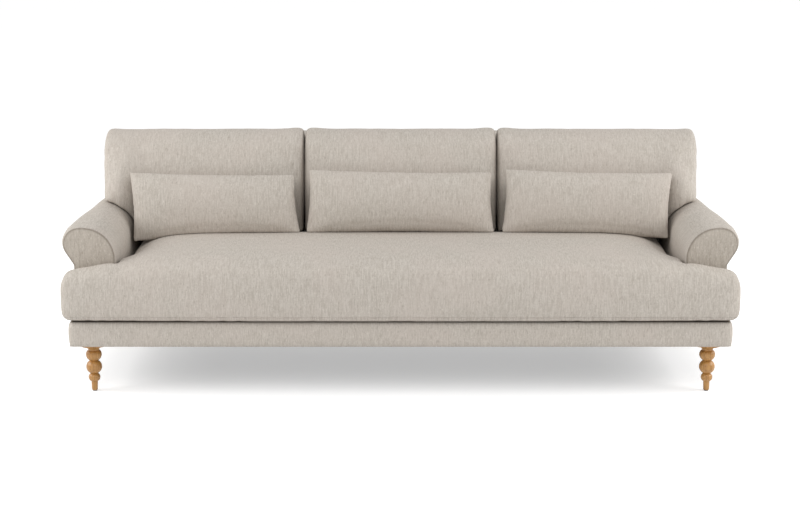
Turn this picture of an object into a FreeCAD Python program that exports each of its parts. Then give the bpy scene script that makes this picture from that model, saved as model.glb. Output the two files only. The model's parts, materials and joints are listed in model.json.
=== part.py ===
"""English roll arm sofa with a bench seat, loose back cushions and turned legs.

Millimetres. X runs across the sofa, Y from front to rear and Z up from the floor.
The origin is on the floor, at the middle of the sofa's width and depth.
"""
import FreeCAD, Part
import math
import os

import Sketcher
from FreeCAD import Placement, Rotation, Vector

SIZES = {
    # Turned legs
    "leg_height": 168,
    "leg_inset_side": 71,
    "leg_inset_end": 70,
    "glide_radius": 8,
    "glide_height": 3,
    "foot_radius": 9,
    "ankle_radius": 11,
    "small_ball_radius": 20,
    "small_neck_radius": 12,
    "ball_radius": 27,
    "waist_radius": 14,
    "top_neck_radius": 19,
    "leg_flange_radius": 46,
    "leg_flange_height": 7,
    "leg_cove_share": 0.85,
    "ankle_height": 33,
    "small_ball_height": 28,
    "lower_ball_height": 45,
    "upper_ball_height": 37,
    "leg_bolt_radius": 4,
    "leg_bolt_depth": 45,
    "leg_bolt_length": 96,
    "insert_radius": 6,
    "insert_flange_radius": 12,
    "insert_flange_height": 2,
    # Base box
    "base_depth": 871,
    "base_height": 90,
    "rail_thickness": 28,
    "border_thickness": 10,
    "border_lip": 2,
    "border_corner_radius": 18,
    "border_edge_radius": 7,
    "corner_block_size": 110,
    "corner_block_height": 35,
    "bearer_thickness": 22,
    "bearer_width": 110,
    "brace_spacing": 700,
    "brace_thickness": 28,
    "brace_height": 60,
    "spring_wire_radius": 2,
    "spring_drop": 5,
    "spring_half_width": 26,
    "spring_pitch": 30,
    "spring_spacing": 215,
    "spring_rows": 8,
    "clip_length": 24,
    "clip_depth": 10,
    "clip_height": 8,
    # Arms
    "seat_width": 1934,
    "arm_height": 303,
    "arm_thickness": 136.5,
    "roll_width": 173,
    "roll_outer_radius": 55,
    "roll_inner_radius": 105,
    "undercut_angle": 32,
    "arm_setback": 85,
    "base_reveal": 12,
    "arm_cover_thickness": 3,
    "arm_cover_step": 2,
    "arm_lining": 20,
    "outside_panel_thickness": 5,
    "front_panel_thickness": 12,
    "front_panel_round": 4,
    "board_thickness": 22,
    "arm_rail_width": 70,
    "arm_rail_height": 45,
    "arm_rail_inset": 48,
    "roll_pad_gap": 6,
    # Back
    "back_height": 522,
    "back_rake": 11.5,
    "back_thickness": 100,
    "back_inset": 8,
    "back_wing": 106,
    "back_edge_radius": 20,
    "back_frame_depth": 38,
    "back_post_width": 60,
    "back_rail_height": 60,
    "lower_rail_rise": 30,
    "back_foot_sink": 60,
    "webbing_thickness": 2,
    "webbing_width": 50,
    "webbing_straps": 7,
    "webbing_spacing": 270,
    # Seat cushion
    "seat_overhang": 35,
    "seat_cushion_thickness": 165,
    "seat_crown": 46,
    "seat_crown_margin": 265,
    "seat_side_gap": 2,
    "seat_edge_radius": 20,
    "seat_face_bulge": 5,
    "seat_flat_depth": 330,
    "seat_crown_shoulder": 0.78,
    "wing_proud": 3.5,
    "wing_end_radius": 36,
    "cover_thickness": 3,
    # Back cushions
    "centre_cushion_width": 704,
    "back_cushion_height": 340,
    "back_cushion_edge": 185,
    "back_cushion_crown": 42,
    "back_cushion_crown_margin": 120,
    "back_cushion_belly": 4,
    "back_cushion_top_drop": 22,
    "back_cushion_top_radius": 48,
    # Lumbar bolsters
    "bolster_height": 212,
    "bolster_flare": 14,
    "bolster_thickness": 122,
    "centre_bolster_width": 656,
    "side_bolster_width": 596,
    # From the inner face of the arm to the middle of the side bolster
    "side_bolster_offset": 299,
    "bolster_lean": 20,
    "bolster_edge": 8,
    "bolster_cover_thickness": 2,
    # Dowels and running gaps
    "dowel_radius": 5,
    "dowel_length": 40,
    "fit": 0.2,
    # Reach of the blocks that only cut
    "cutter_reach": 1500,
    "soft_gap": 0.4,
    "notch_gap": 1,
}

doc = FreeCAD.newDocument("sofa")
sheet = doc.addObject("Spreadsheet::Sheet", "dims")
for row, (alias, number) in enumerate(SIZES.items(), start=1):
    sheet.set(f"A{row}", alias)
    sheet.set(f"B{row}", str(number))
    sheet.setAlias(f"B{row}", alias)
doc.recompute()

NODES = {}
FAR = "dims.cutter_reach"

# Lines and planes that several pieces share, each worked out from the sizes
HALF_SEAT = "(dims.seat_width / 2)"
OUTER_FACE = f"({HALF_SEAT} + dims.arm_thickness)"
HALF_BASE = f"({OUTER_FACE} + dims.base_reveal)"
HALF_WING = f"({HALF_SEAT} + dims.roll_width + dims.wing_proud)"
HALF_BACK = f"({HALF_SEAT} + dims.back_wing)"
BASE_TOP = "(dims.leg_height + dims.base_height)"
BACK_OVERHANG = (
    "((dims.back_height - dims.back_edge_radius) * sin(dims.back_rake)"
    " + dims.back_edge_radius * (1 - cos(dims.back_rake)) - dims.back_inset)"
)
HALF_DEPTH = f"((dims.seat_overhang + dims.base_depth + {BACK_OVERHANG}) / 2)"
BASE_FRONT = f"(dims.seat_overhang - {HALF_DEPTH})"
BASE_REAR = f"({BASE_FRONT} + dims.base_depth)"
BACK_FOOT = f"({BASE_REAR} - dims.back_inset)"
ARM_FRONT = f"({BASE_FRONT} + dims.arm_setback)"
ARM_TOP = f"({BASE_TOP} + dims.arm_height)"
BORDER_DEPTH = "(dims.border_thickness + dims.rail_thickness)"
INNER_SIDE = f"({HALF_BASE} - {BORDER_DEPTH})"
INNER_FRONT = f"({BASE_FRONT} + {BORDER_DEPTH})"
INNER_REAR = f"({BASE_REAR} - {BORDER_DEPTH})"
RAIL_LOW = "(dims.leg_height + dims.border_lip)"
RAIL_HIGH = f"({BASE_TOP} - dims.border_lip)"
LEG_X = f"({HALF_BASE} - dims.leg_inset_side)"
LEG_FRONT_Y = f"({BASE_FRONT} + dims.leg_inset_end)"
LEG_REAR_Y = f"({BASE_REAR} - dims.leg_inset_end)"
BACK_FACE = "(0 - dims.back_thickness)"
FRAME_REAR = "(0 - dims.outside_panel_thickness)"
FRAME_FACE = f"({FRAME_REAR} - dims.back_frame_depth)"
SEAT_TOP = f"({BASE_TOP} + dims.soft_gap + dims.seat_cushion_thickness + dims.seat_crown)"


def size(text):
    """Value of a size expression, in millimetres or degrees."""
    found = sheet.evalExpression(text)
    return float(getattr(found, "Value", found))


def keep(node, piece):
    """Name a finished piece after its node."""
    piece.Label = node
    NODES[node] = piece
    return piece


def box(name, across, along, up):
    """Block between a low and a high expression on X, Y and Z."""
    block = doc.addObject("Part::Box", name)
    limits = (across, along, up)
    for side, (low, high) in zip(("Length", "Width", "Height"), limits):
        block.setExpression(side, f"({high}) - ({low})")
    for axis, (low, _) in zip("xyz", limits):
        block.setExpression(f"Placement.Base.{axis}", low)
    return block


def leaning_box(name, across, depth, rise):
    """Block that leans with the back, which pivots on its foot line.

    Depth runs rearwards from the outside face of the back, and rise runs
    up along it.
    """
    block = doc.addObject("Part::Box", name)
    for side, (low, high) in zip(("Length", "Width", "Height"), (across, depth, rise)):
        block.setExpression(side, f"({high}) - ({low})")
    block.Placement = Placement(Vector(), Rotation(Vector(1, 0, 0), -1))
    lean = "dims.back_rake"
    back, up = f"({depth[0]})", f"({rise[0]})"
    block.setExpression("Placement.Rotation.Angle", f"0 - {lean}")
    block.setExpression("Placement.Base.x", across[0])
    block.setExpression(
        "Placement.Base.y", f"{BACK_FOOT} + {back} * cos({lean}) + {up} * sin({lean})"
    )
    block.setExpression(
        "Placement.Base.z", f"{BASE_TOP} - {back} * sin({lean}) + {up} * cos({lean})"
    )
    return block


def rod(name, radius, length, centre, direction=Vector(0, 0, 1)):
    """Round bar from a centre given as three expressions."""
    bar = doc.addObject("Part::Cylinder", name)
    bar.setExpression("Radius", radius)
    bar.setExpression("Height", length)
    bar.Placement = Placement(Vector(), Rotation(Vector(0, 0, 1), direction))
    for axis, place in zip("xyz", centre):
        bar.setExpression(f"Placement.Base.{axis}", place)
    return bar


def cut(name, base, *tools):
    """Base less one tool after another."""
    for number, tool in enumerate(tools):
        piece = doc.addObject("Part::Cut", f"{name}_{number}")
        piece.Base, piece.Tool = base, tool
        base = piece
    return base


def common(name, base, tool):
    """What two pieces share."""
    piece = doc.addObject("Part::Common", name)
    piece.Base, piece.Tool = base, tool
    return piece


def fuse(name, pieces):
    """Pieces joined into one."""
    joined = doc.addObject("Part::MultiFuse", name)
    joined.Shapes = pieces
    return joined


def group(name, pieces):
    """Separate pieces that are kept together."""
    together = doc.addObject("Part::Compound", name)
    together.Links = pieces
    return together


def mirrored(name, piece):
    """The same piece on the other side of the sofa."""
    other = doc.addObject("Part::Mirroring", name)
    other.Source = piece
    other.Normal = Vector(1, 0, 0)
    return other


def rounded(name, piece, wanted, radius):
    """Round the edges whose middle point passes a test."""
    doc.recompute()
    edges = piece.Shape.Edges
    chosen = [
        number for number, edge in enumerate(edges, start=1) if wanted(edge.CenterOfMass)
    ]
    result = doc.addObject("Part::Fillet", name)
    result.Base = piece
    result.Edges = [(number, size(radius), size(radius)) for number in chosen]
    return result


def shaped(name, shape):
    """Free form whose sizes were read from the sheet."""
    piece = doc.addObject("Part::Feature", name)
    piece.Shape = shape
    return piece


def arc_between(start, end, radius, turn):
    """Circle arc from start to end, anticlockwise where turn is 1."""
    chord = end - start
    rise = math.sqrt(max(radius**2 - (chord.Length / 2) ** 2, 0))
    aside = Vector(-chord.y, chord.x, 0).normalize() * (rise * turn)
    centre = (start + end) * 0.5 + aside
    first, last = (start, end) if turn == 1 else (end, start)
    low = math.atan2(first.y - centre.y, first.x - centre.x)
    high = math.atan2(last.y - centre.y, last.x - centre.x)
    if high <= low:
        high += 2 * math.pi
    return Part.ArcOfCircle(Part.Circle(centre, Vector(0, 0, 1), radius), low, high)


def drawn_edges(corners):
    """Edges of a closed outline, in its own plane.

    A corner is (across, up) where a straight edge ends there, or
    (across, up, radius, turn) where an arc does.
    """
    ends = [Vector(size(corner[0]), size(corner[1]), 0) for corner in corners]
    edges = []
    for number, corner in enumerate(corners):
        start, end = ends[number - 1], ends[number]
        if len(corner) == 2:
            edges.append(Part.LineSegment(start, end))
        else:
            edges.append(arc_between(start, end, size(corner[2]), corner[3]))
    return ends, edges


def outline(body, corners, offset="0"):
    """Sketch of a closed outline on the body's front plane, at a depth."""
    drawn = body.newObject("Sketcher::SketchObject", f"{body.Name}_outline")
    plane = next(f for f in body.Origin.OriginFeatures if f.Role == "XZ_Plane")
    drawn.AttachmentSupport = [(plane, "")]
    drawn.MapMode = "FlatFace"
    drawn.setExpression("AttachmentOffset.Base.z", f"0 - ({offset})")
    ends, edges = drawn_edges(corners)
    for edge in edges:
        drawn.addGeometry(edge, False)
    reversed_edge = [len(corner) == 4 and corner[3] == -1 for corner in corners]
    for number, corner in enumerate(corners):
        after = (number + 1) % len(corners)
        finish = 1 if reversed_edge[number] else 2
        begin = 2 if reversed_edge[after] else 1
        join = Sketcher.Constraint("Coincident", number, finish, after, begin)
        drawn.addConstraint(join)
        for kind, text, place in (
            ("DistanceX", corner[0], ends[number].x),
            ("DistanceY", corner[1], ends[number].y),
        ):
            rule = Sketcher.Constraint(kind, -1, 1, number, finish, place)
            drawn.setExpression(f"Constraints[{drawn.addConstraint(rule)}]", text)
        if len(corner) == 4:
            rule = Sketcher.Constraint("Radius", number, size(corner[2]))
            drawn.setExpression(f"Constraints[{drawn.addConstraint(rule)}]", corner[2])
    return drawn


def padded_outline(name, corners, front, rear):
    """Outline carried straight back from one depth to another."""
    body = doc.addObject("PartDesign::Body", name)
    drawn = outline(body, corners, front)
    pad = body.newObject("PartDesign::Pad", f"{name}_pad")
    pad.Profile = drawn
    pad.Reversed = True
    pad.setExpression("Length", f"({rear}) - ({front})")
    return body


def turned(name, corners, centre):
    """Outline turned round the vertical line through a centre."""
    body = doc.addObject("PartDesign::Body", name)
    drawn = outline(body, corners)
    turn = body.newObject("PartDesign::Revolution", f"{name}_turn")
    turn.Profile = drawn
    turn.ReferenceAxis = (drawn, ["V_Axis"])
    turn.Angle = 360
    for axis, place in zip("xyz", centre):
        body.setExpression(f"Placement.Base.{axis}", place)
    return body


def ball(low, high, low_radius, high_radius, middle):
    """Radius of the arc that swells from one neck to the next."""
    swell = f"({middle} - ({low_radius} + {high_radius}) / 2)"
    return f"((({high}) - ({low}))^2 / 4 + {swell}^2) / (2 * {swell})"


# Legs

ANKLE = "dims.ankle_height"
SMALL_NECK = f"({ANKLE} + dims.small_ball_height)"
WAIST = f"({SMALL_NECK} + dims.lower_ball_height)"
TOP_NECK = f"({WAIST} + dims.upper_ball_height)"
FLANGE_LOW = "(dims.leg_height - dims.leg_flange_height)"
BOLT_HOLE = "(dims.leg_bolt_radius + dims.fit)"
LEG_OUTLINE = [
    ("0", "dims.glide_height"),
    ("dims.foot_radius", "dims.glide_height"),
    ("dims.ankle_radius", ANKLE),
    (
        "dims.small_neck_radius",
        SMALL_NECK,
        ball(ANKLE, SMALL_NECK, "dims.ankle_radius", "dims.small_neck_radius",
             "dims.small_ball_radius"),
        1,
    ),
    (
        "dims.waist_radius",
        WAIST,
        ball(SMALL_NECK, WAIST, "dims.small_neck_radius", "dims.waist_radius",
             "dims.ball_radius"),
        1,
    ),
    (
        "dims.top_neck_radius",
        TOP_NECK,
        ball(WAIST, TOP_NECK, "dims.waist_radius", "dims.top_neck_radius",
             "dims.ball_radius"),
        1,
    ),
    (
        "dims.leg_flange_radius",
        FLANGE_LOW,
        f"(dims.leg_flange_radius - dims.top_neck_radius + {FLANGE_LOW} - {TOP_NECK})"
        " * dims.leg_cove_share",
        -1,
    ),
    ("dims.leg_flange_radius", "dims.leg_height"),
    (BOLT_HOLE, "dims.leg_height"),
    (BOLT_HOLE, "dims.leg_height - dims.leg_bolt_depth"),
    ("0", "dims.leg_height - dims.leg_bolt_depth"),
]
LEG_PLACES = {
    "leg_front_right": (LEG_X, LEG_FRONT_Y),
    "leg_front_left": (f"0 - {LEG_X}", LEG_FRONT_Y),
    "leg_rear_right": (LEG_X, LEG_REAR_Y),
    "leg_rear_left": (f"0 - {LEG_X}", LEG_REAR_Y),
}


def make_legs():
    """Four turned legs, with their glides, bolts and threaded inserts."""
    glides, bolts, inserts = [], [], []
    block_top = f"({RAIL_LOW} + dims.corner_block_height)"
    for node, (across, along) in LEG_PLACES.items():
        keep(node, turned(node, LEG_OUTLINE, (across, along, "0")))
        glides.append(
            rod(f"{node}_glide", "dims.glide_radius", "dims.glide_height",
                (across, along, "0"))
        )
        bolts.append(
            rod(f"{node}_bolt", "dims.leg_bolt_radius", "dims.leg_bolt_length - dims.fit",
                (across, along, "dims.leg_height - dims.leg_bolt_depth + dims.fit"))
        )
        barrel = rod(f"{node}_barrel", "dims.insert_radius",
                     "dims.corner_block_height / 2",
                     (across, along, f"{block_top} - dims.corner_block_height / 2"))
        flange = rod(f"{node}_flange", "dims.insert_flange_radius",
                     "dims.insert_flange_height", (across, along, block_top))
        bore = rod(f"{node}_bore", BOLT_HOLE, "dims.leg_height", (across, along, RAIL_LOW))
        inserts.append(
            cut(f"{node}_insert", fuse(f"{node}_insert_blank", [barrel, flange]), bore)
        )
    keep("floor_glides", group("floor_glides", glides))
    keep("leg_bolts", group("leg_bolts", bolts))
    keep("leg_bolt_inserts", group("leg_bolt_inserts", inserts))


def leg_holes(name, radius, low, high):
    """Upright round cutters on the four leg centres."""
    return group(
        name,
        [
            rod(f"{name}_{node}", radius, f"({high}) - ({low})", (across, along, low))
            for node, (across, along) in LEG_PLACES.items()
        ],
    )


# Dowels that join the base rails and stand in the arm boards and back posts

SCROLL_Y = f"({ARM_FRONT} + dims.front_panel_thickness + dims.board_thickness / 2)"
REAR_BOARD_Y = (
    f"({BACK_FOOT} + ({FRAME_REAR} - dims.board_thickness / 2) / cos(dims.back_rake)"
    " + dims.dowel_length / 4 * tan(dims.back_rake))"
)
POST_Y = (
    f"({BACK_FOOT} + ({FRAME_REAR} - dims.back_frame_depth / 2) / cos(dims.back_rake)"
    " + dims.dowel_length / 4 * tan(dims.back_rake))"
)
BOARD_INNER_X = f"({HALF_SEAT} + dims.arm_lining * 2)"
BOARD_OUTER_X = f"({OUTER_FACE} - dims.arm_lining * 2)"
POST_INNER = f"({HALF_SEAT} - dims.arm_cover_thickness - dims.notch_gap - dims.back_post_width)"
POST_OUTER = f"({POST_INNER} + dims.back_post_width)"


def make_dowels():
    """Dowels, and the slightly larger cutters for their holes."""
    rail_middle = f"(({RAIL_LOW} + {RAIL_HIGH}) / 2)"
    rail_quarter = f"(({RAIL_HIGH} - {RAIL_LOW}) / 4)"
    side_x = f"({INNER_SIDE} + dims.rail_thickness / 2)"
    low_z = f"{BASE_TOP} - dims.dowel_length / 2"
    upright = Vector(0, 0, 1)
    level = Vector(0, 1, 0)
    places = []
    for side in ("1", "-1"):
        for across in (BOARD_INNER_X, BOARD_OUTER_X):
            places.append(((f"{side} * {across}", SCROLL_Y, low_z), upright))
            places.append(((f"{side} * {across}", REAR_BOARD_Y, low_z), upright))
        for share in ("0.25", "0.75"):
            across = f"({POST_INNER} + dims.back_post_width * {share})"
            places.append(((f"{side} * {across}", POST_Y, low_z), upright))
        for end in (INNER_FRONT, INNER_REAR):
            for sign in ("+", "-"):
                height = f"{rail_middle} {sign} {rail_quarter}"
                along = f"{end} - dims.dowel_length / 2"
                places.append(((f"{side} * {side_x}", along, height), level))
    dowels, holes = [], []
    for number, (centre, direction) in enumerate(places):
        dowels.append(rod(f"dowel_{number}", "dims.dowel_radius", "dims.dowel_length",
                          centre, direction))
        holes.append(rod(f"dowel_hole_{number}", "dims.dowel_radius + dims.fit / 4",
                         "dims.dowel_length", centre, direction))
    keep("frame_dowels", group("frame_dowels", dowels))
    return group("dowel_holes", holes)


# Base

def make_base(dowel_holes):
    """Rails, blocks, bearers, braces and the covers round them."""
    half_rail = f"({HALF_BASE} - dims.border_thickness)"
    block_low, block = RAIL_LOW, "dims.corner_block_size"
    block_high = f"({RAIL_LOW} + dims.corner_block_height)"
    rails = {
        "front_rail": ((f"0 - {half_rail}", half_rail),
                       (f"{INNER_FRONT} - dims.rail_thickness", INNER_FRONT)),
        "rear_rail": ((f"0 - {half_rail}", half_rail),
                      (INNER_REAR, f"{INNER_REAR} + dims.rail_thickness")),
        "side_rail_right": ((INNER_SIDE, half_rail), (INNER_FRONT, INNER_REAR)),
        "side_rail_left": ((f"0 - {half_rail}", f"0 - {INNER_SIDE}"),
                           (INNER_FRONT, INNER_REAR)),
    }
    for node, (across, along) in rails.items():
        blank = box(f"{node}_blank", across, along, (RAIL_LOW, RAIL_HIGH))
        keep(node, cut(node, blank, dowel_holes))

    bolt_holes = leg_holes("block_bolt_holes", BOLT_HOLE, "dims.leg_height",
                           f"{block_high} + dims.fit")
    insert_holes = leg_holes("insert_holes", "dims.insert_radius + dims.fit / 2",
                             f"{block_high} - dims.corner_block_height / 2",
                             f"{block_high} + dims.fit")
    blocks = []
    for low_x, high_x in ((f"{INNER_SIDE} - {block}", INNER_SIDE),
                          (f"0 - {INNER_SIDE}", f"{block} - {INNER_SIDE}")):
        for low_y, high_y in ((INNER_FRONT, f"{INNER_FRONT} + {block}"),
                              (f"{INNER_REAR} - {block}", INNER_REAR)):
            blocks.append(box(f"block_{len(blocks)}", (low_x, high_x), (low_y, high_y),
                              (block_low, block_high)))
    keep("corner_blocks", cut("corner_blocks", group("corner_blanks", blocks),
                              bolt_holes, insert_holes))

    bearer = box("bearer_blank", (f"{INNER_SIDE} - dims.bearer_width", INNER_SIDE),
                 (INNER_FRONT, INNER_REAR), (f"{RAIL_HIGH} - dims.bearer_thickness", RAIL_HIGH))
    right = keep("arm_bearer_right", cut("arm_bearer_right", bearer, dowel_holes))
    keep("arm_bearer_left", mirrored("arm_bearer_left", right))

    braces = []
    for side in ("0.5", "-0.5"):
        middle = f"({side} * dims.brace_spacing)"
        across = (f"{middle} - dims.brace_thickness / 2", f"{middle} + dims.brace_thickness / 2")
        braces.append(box(f"brace_{side}", across, (INNER_FRONT, INNER_REAR),
                          (RAIL_LOW, f"{RAIL_LOW} + dims.brace_height")))
    keep("seat_braces", group("seat_braces", braces))

    inside = ((f"0 - {INNER_SIDE}", INNER_SIDE), (INNER_FRONT, INNER_REAR))
    under = box("dust_cover_blank", *inside, ("dims.leg_height", RAIL_LOW))
    holes = leg_holes("dust_cover_holes", BOLT_HOLE, "dims.leg_height", RAIL_LOW)
    keep("dust_cover", cut("dust_cover", under, holes))
    deck = box("deck_blank", *inside, (RAIL_HIGH, BASE_TOP))
    keep("deck_cloth", cut("deck_cloth", deck, dowel_holes))
    make_borders(half_rail, dowel_holes)


def make_borders(half_rail, dowel_holes):
    """Padded covers round the four sides of the base."""
    high, low = size(BASE_TOP), size("dims.leg_height")
    half_base = size(HALF_BASE)
    slack = 0.01
    ends = {
        "border_front": (BASE_FRONT, INNER_FRONT, BASE_FRONT),
        "border_rear": (INNER_REAR, BASE_REAR, BASE_REAR),
    }
    for node, (near, far, face) in ends.items():
        blank = box(f"{node}_blank", (f"0 - {HALF_BASE}", HALF_BASE), (near, far),
                    ("dims.leg_height", BASE_TOP))
        outer = size(face)
        corners = rounded(
            f"{node}_corners", blank,
            lambda middle: abs(abs(middle.x) - half_base) < slack
            and abs(middle.y - outer) < slack and low + slack < middle.z < high - slack,
            "dims.border_corner_radius",
        )
        soft = rounded(
            f"{node}_soft", corners,
            lambda middle: abs(middle.y - outer) < slack
            and min(abs(middle.z - low), abs(middle.z - high)) < slack,
            "dims.border_edge_radius",
        )
        keep(node, cut(node, soft, NODES[node.replace("border_", "") + "_rail"].Base,
                       dowel_holes))
    blank = box("border_right_blank", (INNER_SIDE, HALF_BASE), (INNER_FRONT, INNER_REAR),
                ("dims.leg_height", BASE_TOP))
    soft = rounded(
        "border_right_soft", blank,
        lambda middle: abs(middle.x - half_base) < slack
        and min(abs(middle.z - low), abs(middle.z - high)) < slack,
        "dims.border_edge_radius",
    )
    rail = box("side_rail_cutter", (INNER_SIDE, half_rail), (INNER_FRONT, INNER_REAR),
               (RAIL_LOW, RAIL_HIGH))
    right = keep("border_right", cut("border_right", soft, rail, dowel_holes))
    keep("border_left", mirrored("border_left", right))


def make_springs():
    """Zigzag seat springs, front to rear, and the clips at their ends."""
    radius, half = size("dims.spring_wire_radius"), size("dims.spring_half_width")
    height = size(f"{RAIL_HIGH} - dims.spring_drop")
    first = size(f"{INNER_FRONT} + dims.clip_depth / 2")
    last = size(f"{INNER_REAR} - dims.clip_depth / 2")
    steps = 2 * round((last - first) / size("dims.spring_pitch") / 2)
    step = (last - first) / steps
    straight = half - step / 2
    edges = []
    for number in range(steps + 1):
        along = first + number * step
        side = 1 if number % 2 == 0 else -1
        start = Vector(-side * straight, along, height)
        end = Vector(side * straight, along, height)
        edges.append(Part.LineSegment(start, end).toShape())
        if number < steps:
            beyond = Vector(side * (straight + step / 2), along + step / 2, height)
            edges.append(Part.Arc(end, beyond, end + Vector(0, step, 0)).toShape())
    path = Part.Wire(edges)
    ring = Part.Wire([Part.makeCircle(radius, Vector(-straight, first, height), Vector(1, 0, 0))])
    spring = path.makePipeShell([ring], True, False)
    rows = int(size("dims.spring_rows"))
    spacing = size("dims.spring_spacing")
    starts = [(row - (rows - 1) / 2) * spacing for row in range(rows)]
    springs, clips = [], []
    length, depth = size("dims.clip_length"), size("dims.clip_depth")
    tall = size("dims.clip_height")
    for across in starts:
        copy = spring.copy()
        copy.translate(Vector(across, 0, 0))
        springs.append(copy)
        for along in (first, last):
            corner = Vector(across - length / 2, along - depth / 2, height - tall / 2)
            clip = Part.makeBox(length, depth, tall, corner)
            hole = Part.makeCylinder(radius + size("dims.fit"), length,
                                     Vector(corner.x, along, height), Vector(1, 0, 0))
            clips.append(clip.cut(hole))
    keep("seat_springs", shaped("seat_springs", Part.makeCompound(springs)))
    keep("spring_clips", shaped("spring_clips", Part.makeCompound(clips)))


# Arms

ROLL_X = f"({HALF_SEAT} + dims.roll_width - dims.roll_outer_radius)"


def roll_end(inset):
    """Where the outer roll meets the undercut, for an inset outline."""
    across = f"({ROLL_X} + (dims.roll_outer_radius - {inset}) * cos(dims.undercut_angle))"
    up = (
        f"({ARM_TOP} - dims.roll_outer_radius"
        f" - (dims.roll_outer_radius - {inset}) * sin(dims.undercut_angle))"
    )
    return across, up


def undercut_end(inset, face_inset):
    """Where the undercut meets the upright outside face."""
    across, up = roll_end(inset)
    face = f"({OUTER_FACE} - {face_inset})"
    return face, f"({up} - ({across} - {face}) / tan(dims.undercut_angle))"


def roll_corners(inset):
    """Inner face, roll and undercut of the right arm, from the inner foot."""
    inner = f"({HALF_SEAT} + {inset})"
    top = f"({ARM_TOP} - {inset})"
    return [
        (inner, BASE_TOP),
        (inner, f"({ARM_TOP} - dims.roll_inner_radius)"),
        (f"({HALF_SEAT} + dims.roll_inner_radius)", top,
         f"(dims.roll_inner_radius - {inset})", -1),
        (ROLL_X, top),
        (*roll_end(inset), f"(dims.roll_outer_radius - {inset})", -1),
    ]


def arm_outline(inset, face_inset):
    """Whole section of the right arm, drawn in by an inset."""
    face, up = undercut_end(inset, face_inset)
    return [*roll_corners(inset), (face, up), (face, BASE_TOP)]


def turned_back(corners):
    """The same run of corners walked the other way, without its closing edge."""
    back = []
    for number in range(len(corners) - 1, -1, -1):
        place = corners[number][:2]
        after = corners[number + 1] if number + 1 < len(corners) else None
        bend = (after[2], -after[3]) if after is not None and len(after) == 4 else ()
        back.append((*place, *bend))
    return back


def make_arms(dowel_holes):
    """Boards, rail, padding, covers and panels of both arms."""
    skin = "dims.arm_cover_thickness"
    inner = f"({skin} + dims.fit)"
    panel = "dims.outside_panel_thickness"
    cover_front = f"({ARM_FRONT} + dims.arm_cover_step)"
    board_front = f"({ARM_FRONT} + dims.front_panel_thickness)"
    board_rear = f"({board_front} + dims.board_thickness)"
    everywhere = (f"0 - {FAR}", FAR)
    behind_panel = leaning_box("behind_panel", everywhere, (FRAME_REAR, FAR), everywhere)
    board_face = f"({FRAME_REAR} - dims.board_thickness)"
    behind_board = leaning_box("behind_board", everywhere, (board_face, FAR), everywhere)
    board_slab = leaning_box("board_slab", everywhere, (board_face, FRAME_REAR), everywhere)

    outer_run = [*roll_corners("0"), undercut_end("0", "0")]
    inner_run = [*roll_corners(skin), undercut_end(skin, skin)]
    wrap = padded_outline("arm_wrap", outer_run + turned_back(inner_run), cover_front, FAR)
    cover = cut("arm_cover_right", wrap, behind_panel)

    face_inset = f"({panel} + dims.fit)"
    section = arm_outline(inner, face_inset)
    facing = padded_outline("arm_facing", section, ARM_FRONT, board_front)
    front_face = size(ARM_FRONT)
    soft_facing = rounded("arm_front_panel_right", facing,
                          lambda middle: abs(middle.y - front_face) < 0.01,
                          "dims.front_panel_round")
    scroll = padded_outline("scroll_blank", section, board_front, board_rear)
    rear_blank = padded_outline("rear_board_blank", section, "0", FAR)
    rear_board = cut("rear_board_cut", common("rear_board_common", rear_blank, board_slab),
                     dowel_holes)

    panel_corners = [
        (f"({OUTER_FACE} - {panel})", BASE_TOP),
        undercut_end(inner, panel),
        undercut_end("0", "0"),
        (OUTER_FACE, BASE_TOP),
    ]
    outside = padded_outline("outside_blank", panel_corners, cover_front, FAR)

    pad_low = f"({undercut_end('0', '0')[1]} + dims.roll_pad_gap)"
    end_x, end_z = roll_end(inner)
    pad_edge = f"({end_x} - ({end_z} - {pad_low}) * tan(dims.undercut_angle))"
    rail_inner = f"({HALF_SEAT} + dims.arm_rail_inset)"
    rail_outer = f"({rail_inner} + dims.arm_rail_width)"
    rail_top = f"({pad_low} + dims.arm_rail_height)"
    lining = f"({HALF_SEAT} + {skin} + dims.arm_lining)"
    pad_corners = [
        *roll_corners(inner),
        (pad_edge, pad_low),
        (rail_outer, pad_low),
        (rail_outer, rail_top),
        (rail_inner, rail_top),
        (rail_inner, pad_low),
        (lining, pad_low),
        (lining, BASE_TOP),
    ]
    padding = padded_outline("padding_blank", pad_corners, board_rear, FAR)
    rail = box("arm_rail_blank", (rail_inner, rail_outer), (board_rear, FAR), (pad_low, rail_top))
    right = {
        "arm_cover": cover,
        "arm_front_panel": soft_facing,
        "arm_scroll_board": cut("scroll_board", scroll, dowel_holes),
        "arm_rear_board": rear_board,
        "arm_outside_panel": cut("outside_panel", outside, behind_panel),
        "arm_padding": cut("arm_padding", padding, behind_board),
        "arm_top_rail": cut("arm_top_rail", rail, behind_board),
    }
    for name, piece in right.items():
        keep(f"{name}_right", piece)
        keep(f"{name}_left", mirrored(f"{name}_left", piece))


def arm_cutters(name, gap):
    """Both arms' solid envelopes, grown by a gap."""
    grown = f"(0 - {gap})"
    right = padded_outline(f"{name}_right", arm_outline(grown, grown), f"0 - {FAR}", FAR)
    return [right, mirrored(f"{name}_left", right)]


# Back

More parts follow.
